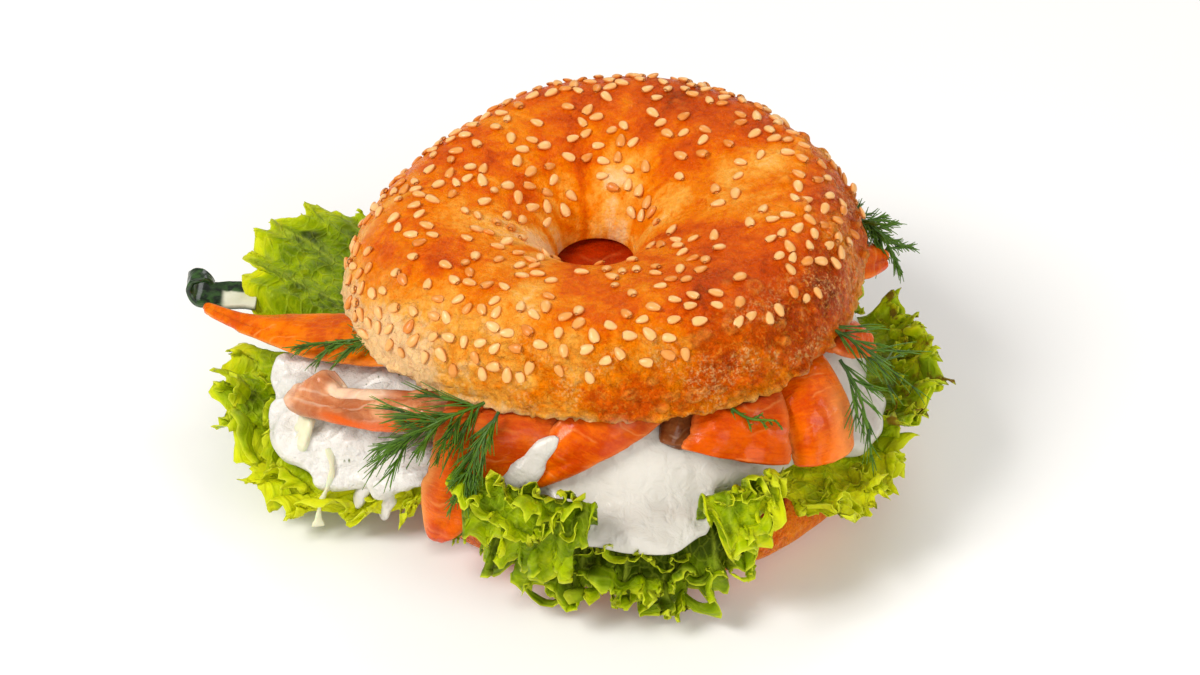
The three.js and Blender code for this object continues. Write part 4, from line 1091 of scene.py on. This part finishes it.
# ---- smoked salmon ----
# Each slice lies between two edges that run from under the top half outwards, and arches between
# them: (one edge, the other edge, height of the arch).
SLICES = {
    "left_tongue": (
        [(-32, -2, 38.5), (-48, -8, 37), (-60.5, -1, 34.5),
         (-73, 4, 30.5), (-83.5, 7, 28), (-93, 12.5, 26.5)],
        [(-30, -16, 38.5), (-42, -21, 37), (-55.5, -17.5, 33.5),
         (-69.5, -8.5, 29), (-82.5, 1.5, 27), (-92.5, 10.5, 26)],
        0.6,
    ),
    "left_roll": (
        [(-34, -26, 36), (-39.5, -28.5, 35.5), (-47.5, -27, 34.5), (-58.5, -22.5, 31.5), (-69.5, -17, 29)],
        [(-34, -34, 34.5), (-39.5, -38, 34), (-47, -36.5, 31.5), (-59, -29.5, 27.5), (-73, -21.5, 25.5)],
        1.6,
    ),
    "front_drape": (
        [(-25, -22, 39.5), (-36, -34.5, 39), (-38.5, -40.5, 37),
         (-40, -44.5, 31), (-42, -45.5, 23), (-41.5, -46, 10.5)],
        [(-8, -24, 40), (-12, -35, 39.5), (-14.5, -42.5, 36),
         (-19.5, -45, 31), (-25.5, -47.5, 25), (-36, -48.5, 13)],
        0.8,
    ),
    "front": (
        [(4, -22, 41), (-5, -33, 40.5), (-13.5, -41, 39), (-20.5, -43.5, 32), (-28, -44, 26.5)],
        [(14, -24, 41.5), (7.5, -40.5, 39.5), (-1.5, -44.5, 34), (-12.5, -47, 28.5), (-24.5, -47.5, 24.5)],
        1,
    ),
    "dark_scrap": (
        [(7, -30, 38), (6, -37, 37.5), (5.5, -43.5, 34.5)],
        [(14, -30, 38), (13.5, -37, 38), (12.5, -44, 33)],
        0.4,
    ),
    "front_right": (
        [(14, -24, 41.5), (13, -38, 40.5), (11.5, -43.5, 37.5), (9.5, -46, 34.5)],
        [(27, -20, 42), (30, -35, 41), (31.5, -42, 36), (31.5, -45.5, 29.5)],
        1.2,
    ),
    "right_fold": (
        [(25, -18, 39), (27.5, -34, 38.5), (30.5, -39.5, 35.5), (32.5, -43.5, 27)],
        [(34, -14, 40), (41, -27.5, 40.5), (44, -32.5, 36), (45.5, -38.5, 27.5)],
        1.4,
    ),
    "right": (
        [(32, -6, 42.5), (42, -13.5, 43), (46.5, -11.5, 40.5), (49.5, -12.5, 37.5)],
        [(32, -16, 42.5), (40.5, -23.5, 42.5), (45, -22.5, 39.5), (50, -17.5, 36)],
        0.5,
    ),
    "right_back": (
        [(34, 14, 42.5), (46, 14, 43), (51.5, 14.5, 42), (55.5, 12.5, 40)],
        [(34, 2, 42.5), (44.5, 0.5, 43), (50, 2, 41.5), (54.5, 8, 39.5)],
        0.4,
    ),
    "middle": (
        [(-14, -6, 39), (-17, 8, 39), (-20, 30, 39), (-24, 50, 38.5), (-25, 58, 35), (-25, 61, 30)],
        [(14, -6, 40.5), (15, 8, 40.5), (16, 30, 40.5), (12, 50, 40), (10, 59, 36.5), (9, 62.5, 31)],
        0.5,
    ),
}
# The slices that aren't the usual orange: their material, flesh, lighter flesh, fat, and whether the
# fat runs lengthwise. The front right slice and the middle one, seen in the hole, are darker copies
# of the orange for painted shade.
TONES = {
    "left_roll": ("salmon_rosy", (196, 112, 66), (230, 164, 116), (250, 228, 200), True),
    "dark_scrap": ("salmon_dusky", (112, 56, 22), (146, 86, 44), (190, 150, 110)),
    "left_tongue": ("salmon_golden", (208, 80, 0), (238, 120, 0), (250, 176, 90), True),
    "middle": ("salmon_deep", (150, 30, 0), (184, 48, 0), (206, 96, 40)),
    "front_right": ("salmon_shaded", (192, 58, 0), (220, 88, 0), (240, 150, 78)),
}
# Small or half hidden, so made with fewer points.
HIDDEN_SLICES = ("dark_scrap", "right", "right_back", "middle")


def slice_ceiling(p):
    """How high the middle of a slice may go: under the top half's cut face, and free past its edge."""
    past = np.hypot(p[..., 0] - TOP_CENTRE[0], p[..., 1] - TOP_CENTRE[1]) - BAGEL_RADIUS
    return bun_plane(p) - 0.6 * SLICE - GAP + 3 * np.maximum(0, past)


def roll_tones(u, v, lie, seed):
    """pale, warm and dark parts of the rolled slice: a strip of pale fat along its upper edge, warm
    flesh along its lower edge, and between them painted shade in the hollows and brown clouds."""
    cloud = 0.5 + 0.5 * rough(lie * [2, 0.7, 1], 6, 3, seed)
    strip = smooth((0.34 - u + 0.14 * rough(lie, 5, 3, seed)) / 0.08) * smooth((0.84 - v) / 0.06)
    strip = strip * smooth((v - 0.42) / 0.2)
    pale = strip * (0.3 + 0.9 * cloud) + 0.5 * smooth((v - 0.93) / 0.05)
    warm = 0.9 * smooth((u - 0.64 - 0.14 * cloud) / 0.14) * smooth((0.93 - v) / 0.2)
    # painted shade in the hollows between the strip and the peak, and brown clouds
    dark = 0.5 * bump(v - 0.7, 0.1) * smooth((u - 0.2) / 0.15) + 0.5 * smooth((cloud - 0.48) / 0.15)
    dark = np.clip(dark + 0.4 * bump(v - 0.85, 0.04) * smooth((0.6 - u) / 0.2), 0, 0.75)
    return pale, warm, dark * (1 - warm) * (1 - np.clip(strip, 0, 1))


def slice_tones(name, u, v, lie, seed):
    """How pale, warm and dark a slice is at each of its points."""
    pale, warm, dark = 0 * u, 0 * u, 0 * u
    if name == "left_roll":
        pale, warm, dark = roll_tones(u, v, lie, seed)
    # painted shadow: darker where the slice runs in under the top half
    if name in ("front_right", "front", "front_drape"):
        dark = 0.3 * smooth((0.62 - v + 0.1 * noise(lie, 6, seed)) / 0.3)
    # a pale patch on the right fold: fat, with a painted highlight on it
    if name == "right_fold":
        pale = 0.7 * bump(u - 0.8, 0.2) * smooth(v * 3 - 1)
    if name == "front_drape":
        pale = 0.7 * bump(u, 0.14) * smooth(v * 3 - 1.2)
    pale = pale + 0.35 * smooth((0.12 - np.minimum(u, 1 - u)) / 0.12)
    return {"pale": both(np.clip(pale, 0, 1)), "warm": both(warm), "dark": both(dark), "lie": both(lie)}


def roll_relief(u, v, lie):
    """How the rolled slice's end peaks, and how its upper edge is folded over."""
    peak = np.maximum(0, 1 - np.abs(v - 0.88 + 0.1 * u) / 0.09) ** 0.8
    fold = 1.1 * bump(u - 0.2, 0.1) - 0.9 * bump(u - 0.36, 0.06) + 0.5 * rough(lie * [2, 1, 1], 3, 3, 121)
    fold = fold * smooth((0.82 - v) / 0.06) - 0.8 * smooth((v - 0.92) / 0.06)
    return 4.4 * peak * smooth((0.6 - u) / 0.6), fold


def salmon_slice(name, one, two, arch, material):
    u, v = grid(34, 70) if name in HIDDEN_SLICES else grid(48, 100)
    seed = 100 + sum(map(ord, name))
    a, b = through(one, v[0])[None], through(two, v[0])[None]
    up = unit(np.cross(np.gradient(a[0], axis=0)[None], b - a))
    up = np.where(up[..., 2:] < 0, -up, up)
    dome = np.sqrt(np.maximum(0, 4 * u * (1 - u)))
    length = np.linalg.norm(np.diff(a[0], axis=0), axis=1).sum()
    lie = np.stack([u * np.linalg.norm(b - a, axis=-1), v * length, u * 0 + seed], -1)
    ragged = 0.035 * rough(along_line(lie[..., 1], seed), 6, 3, seed)
    short = 0.1 * (1 - dome**0.6) + 0.03 * rough(along_line(lie[..., 0], seed + 9.0), 5, 2, seed)
    at = v * (1 - short * smooth(2 * v - 1))
    a, b = (through(edge, at.ravel()).reshape(*at.shape, 3) for edge in (one, two))
    p = mix(a, b, (u + ragged * (2 * u - 1))[..., None])
    wave = 0.35 * np.sin(9 * u + 7 * at) * dome
    folds = 0.45 * rough(lie * [1.4, 0.5, 1], 6, 3, seed + 1) * dome
    crown = smooth(np.minimum(u, 1 - u) / 0.3)
    p = p + up * ((arch * crown + wave + folds) * smooth(v * 3))[..., None]
    if name == "left_roll":
        peak, fold = roll_relief(u, v, lie)
        p[..., 2] += peak
        p += up * fold[..., None]
    p[..., 2] = np.minimum(p[..., 2], slice_ceiling(p))
    ends = np.minimum(1, (1 - v) * 60) ** 0.5
    thickness = SLICE * (0.12 + 0.88 * dome**0.7) * (0.15 + 0.85 * ends)
    values = slice_tones(name, u, v, lie, seed)
    make_piece("slice_" + name, *closed_sheet(p, thickness), values, "salmon_" + name, "salmon", material)


# ---- cucumber and cabbage ----
RIBBON_INNER = np.array([-82, 12.8, 25.6])
RIBBON_FLAT, RIBBON_CURL, RIBBON_TURN = 12, 2.7, 4.4  # its flat length, then how it curls up
RIBBON_WIDTH, RIBBON_THICKNESS = 7.6, 1.3


def cucumber_ribbon(material):
    u, v = grid(110, 28)
    whole = RIBBON_FLAT + RIBBON_CURL * RIBBON_TURN
    run = u * whole
    turn = np.clip((run - RIBBON_FLAT) / RIBBON_CURL, 0, RIBBON_TURN)
    ragged = 0.3 * rough(along_line(run, v * 3), 3, 3, 91)
    radius = RIBBON_CURL * (1 - 0.1 * turn / RIBBON_TURN) + 0.8 * ragged
    out = np.minimum(run, RIBBON_FLAT) + radius * np.sin(turn)
    round_end = np.sqrt(1 - 0.85 * smooth((run - RIBBON_FLAT) / (RIBBON_CURL * RIBBON_TURN)) ** 3)
    back = RIBBON_WIDTH * (0.5 + (0.5 - v) * mix(1, 0.6, smooth(turn / 1.5)) * round_end) + ragged
    offset = np.stack([-out, 0.05 * out + back, 0.08 * back + radius * (1 - np.cos(turn)) + 0.5 * ragged], -1)
    front = smooth((0.42 - v + 0.6 * ragged) / 0.1)
    edge = np.maximum(front, smooth((run - 0.55 * RIBBON_FLAT - 3 * ragged) / 1.5))
    edge = np.clip(edge - 0.9 * bump(turn - 3.4, 0.5) * bump(v - 0.45, 0.25), 0, 1)
    rind = np.concatenate([edge.ravel(), np.maximum(edge, smooth((turn + 0.4) / 0.4)).ravel()])
    sheet = closed_sheet(RIBBON_INNER + offset, RIBBON_THICKNESS)
    make_piece("ribbon", *sheet, {"rind": rind}, "cucumber_ribbon", "cucumber", material)


SHRED_PATH = [(-62.5, -28, 20), (-62.5, -31.5, 15), (-63.5, -34, 10.5), (-65.5, -35.5, 5)]


def cabbage_shred(material):
    u, v = grid(90, 12)
    path = through(SHRED_PATH, u[:, 0])[:, None]
    width = mix(1.3, 0.9, u) + 2.0 * smooth((u - 0.88) / 0.12) + 0.3 * np.sin(23 * u)
    offset = np.stack([width * (v - 0.5) + 0.7 * np.sin(7 * u), 0.4 * (v - 0.5), 0.3 * np.sin(9 * u)], -1)
    sheet = closed_sheet(path + offset, 0.6 * np.sqrt(np.maximum(0.05, 4 * v * (1 - v))))
    make_piece("shred", *sheet, {}, "cabbage_shred", "cabbage", material)
    make_piece("chunk", *lump(*CHUNK, seed=95), {}, "cabbage_shred", "cabbage", material)


# ---- dill: stems with side shoots that fork into needles ----
DILL = {
    "left": dict(path=[(-47, -17, 40.5), (-55, -15, 38.6), (-65, -12, 35)],
                 shoots=4, length=8, spread=34, seed=51),
    "front_left": dict(path=[(-29, -38, 40.4), (-37, -42, 39.4), (-45, -43.4, 35.6)],
                       shoots=6, length=13, spread=52, seed=52, long=1.15),
    "front_drape": dict(path=[(-26, -42, 41.4), (-30, -47.4, 36.6), (-33, -50.4, 30)],
                        shoots=4, length=8, spread=34, seed=53),
    "front": dict(path=[(18, -40, 42.4), (23, -43.4, 41), (28, -43.4, 40.4)],
                  shoots=1, length=2.6, spread=40, seed=54, nodes=3),
    "right": dict(path=[(40, -20, 45.8), (46, -22, 43), (53, -23, 37)],
                  shoots=2, length=12, spread=46, seed=55, nodes=2, long=1.1),
    "right_drape": dict(path=[(42, -28, 43.4), (45.4, -33, 39.6), (47.8, -36, 32)],
                        shoots=1, length=8, spread=30, seed=56, nodes=3, long=1.3),
    "right_back": dict(path=[(47, 17, 45.8), (52, 17.5, 45), (57, 15, 39)],
                       shoots=9, length=8, spread=60, seed=57),
}


def add_needle(heap, path, start, end, sides=6):
    """A tube along a path of points that tapers from radius start to radius end."""
    path = np.array(path, float)
    ahead = unit(np.gradient(path, axis=0))
    side = unit(np.cross(ahead, [0.1, 0.2, 1.0]))
    up = np.cross(side, ahead)
    t = np.linspace(0, 1, len(path))
    radius = mix(start, end, t)[:, None, None]
    a = np.linspace(0, 2 * math.pi, sides, endpoint=False)[None, :, None]
    ring = path[:, None] + radius * (np.cos(a) * side[:, None] + np.sin(a) * up[:, None])
    first, corner = np.zeros(sides - 2, int), np.arange(sides)
    near = np.stack([first, corner[2:], corner[1:-1]], -1)
    far = near[:, [0, 2, 1]] + (len(path) - 1) * sides
    faces = [grid_quads(len(path), sides, False, True), near, far]
    heap.add(ring.reshape(-1, 3), faces, {"tip": np.repeat(t, sides)})


def curved(start, heading, length, droop, steps=8):
    """A path that sets out in a heading and sags by droop at its end."""
    t = np.linspace(0, 1, steps)[:, None]
    return start + heading * length * t - np.array([0, 0, 1.0]) * droop * t**2


def fan_out(ahead, opening, roll, flatness=0.7):
    """A direction that opens from ahead by an angle, rolled about it and flattened level."""
    side = unit(np.cross([0, 0, 1.0], ahead))
    up = np.cross(ahead, side)
    way = ahead * math.cos(opening)
    return unit(way + math.sin(opening) * (side * math.cos(roll) + flatness * up * math.sin(roll)))


def dill_sprig(name, path, shoots, length, spread, seed, material, nodes=7, long=1.0):
    draw = make_random(seed)
    sprig = Heap()
    stem = through(path, np.linspace(0, 1, 30))
    add_needle(sprig, stem, 0.4, 0.2)
    count = 2 * shoots + 6
    for k in range(count):
        t = mix(0.05, 1.0, k / (count - 1))
        at = int(t * (len(stem) - 1))
        base = stem[at]
        ahead = unit(stem[min(at + 1, len(stem) - 1)] - stem[max(at - 1, 0)])
        opening = spread * DEG * mix(0.5, 1.25, draw()) * (0.3 if k == count - 1 else 1)
        heading = fan_out(ahead, opening, math.pi * (k % 2) + mix(-0.9, 0.9, draw()))
        reach = length * mix(0.7, 1.25, draw()) * (1 - 0.2 * t)
        shoot = curved(base, heading, reach, mix(-0.8, 2.8, draw()), 12)
        add_needle(sprig, shoot, 0.26, 0.1)
        for n in range(nodes):
            f = mix(0.06, 0.9, (n + 0.6 * draw()) / nodes)
            root = shoot[int(f * (len(shoot) - 1))]
            for _ in range(2):
                way = fan_out(heading, mix(8, 30, draw()) * DEG, mix(0, 2 * math.pi, draw()), 0.7)
                size = long * reach * mix(0.4, 0.85, draw()) * (1 - 0.5 * f)
                add_needle(sprig, curved(root, way, size, mix(-0.7, 1.9, draw()), 9), 0.21, 0.07, 5)
    sprig.make("sprig_" + name, "dill_" + name, "dill", material)


# ---- floor, light and camera ----
CAMERA_DISTANCE = 500.0  # from the middle of the top half's cut face
CAMERA_ELEVATION = 36 * DEG
PICTURE_WIDTH = 1200  # in pixels
FOCAL = 2345.0  # in pixels
TARGET_PIXEL = (13.2, -75.8)  # from the picture's centre, right and down
SENSOR = 36  # the width of the camera's sensor, in millimetres


def add_camera():
    ahead = Vector((0, math.cos(CAMERA_ELEVATION), -math.sin(CAMERA_ELEVATION)))
    right = Vector((1, 0, 0))
    down = ahead.cross(right)
    place = Vector(TOP_CENTRE * MM + AXIS) - ahead * CAMERA_DISTANCE * MM
    ahead = (ahead * FOCAL - right * TARGET_PIXEL[0] - down * TARGET_PIXEL[1]).normalized()
    right = (right - ahead * right.dot(ahead)).normalized()
    up = right.cross(ahead)
    data = bpy.data.cameras.new("camera")
    data.sensor_width = SENSOR
    data.lens = SENSOR * FOCAL / PICTURE_WIDTH
    data.clip_start, data.clip_end = 0.01, 20
    camera = bpy.data.objects.new("camera", data)
    bpy.context.collection.objects.link(camera)
    camera.matrix_world = Matrix.Translation(place) @ Matrix((right, up, -ahead)).transposed().to_4x4()
    bpy.context.scene.camera = camera


def add_light(name, place, size, power, colour=(1, 1, 1)):
    """A square soft box that looks at the sandwich. place and size are in metres."""
    data = bpy.data.lights.new(name, "AREA")
    data.energy, data.size, data.color = power, size, colour
    light = bpy.data.objects.new(name, data)
    bpy.context.collection.objects.link(light)
    light.location = place
    light.rotation_mode = "QUATERNION"
    light.rotation_quaternion = (Vector((0, 0, 0.03)) - light.location).to_track_quat("-Z", "Y")


def add_surroundings():
    bpy.ops.mesh.primitive_plane_add(size=8, location=(0, 0, 0))
    floor = bpy.context.object
    floor.name = "floor"
    paint = Paint("floor", Roughness=0.7)
    colour = paint.blend(paint.spots(120, 2), (252, 252, 251), (255, 255, 254))
    floor.data.materials.append(paint.finish(Base_Color=colour))
    world = bpy.data.worlds.new("studio")
    bpy.context.scene.world = world
    world.use_nodes = True
    background = world.node_tree.nodes["Background"].inputs
    background["Color"].default_value = (1.0, 0.975, 0.93, 1)
    background["Strength"].default_value = 0.28
    warm = (1.0, 0.98, 0.95)
    add_light("key", (-0.6, -0.25, 0.75), 0.4, 7.0, warm)
    add_light("front", (0.1, -0.9, 0.5), 0.8, 3.1, warm)
    add_light("side", (0.75, -0.45, 0.45), 0.5, 2.6, warm)
    add_light("back", (0.3, 0.8, 0.8), 0.6, 3.6)
    bpy.context.scene.view_settings.view_transform = "Standard"


def main():
    crust = crust_material()
    top_crust(crust)
    sesame_seeds(seed_material())
    bottom_crust(crust)
    cream = cream_material()
    cream_cheese(cream)
    cream_dabs(cream)
    green = leaf_material()
    for name, leaf in LEAVES.items():
        lettuce_leaf(name, leaf, green)
    orange = salmon_material("salmon", (206, 66, 0), (236, 106, 0), (248, 164, 88))
    for name, shape in SLICES.items():
        salmon_slice(name, *shape, salmon_material(*TONES[name]) if name in TONES else orange)
    cucumber_ribbon(cucumber_material())
    cabbage_shred(cabbage_material())
    green_dill = dill_material()
    for name, sprig in DILL.items():
        dill_sprig(name, **sprig, material=green_dill)
    add_surroundings()
    add_camera()


main()
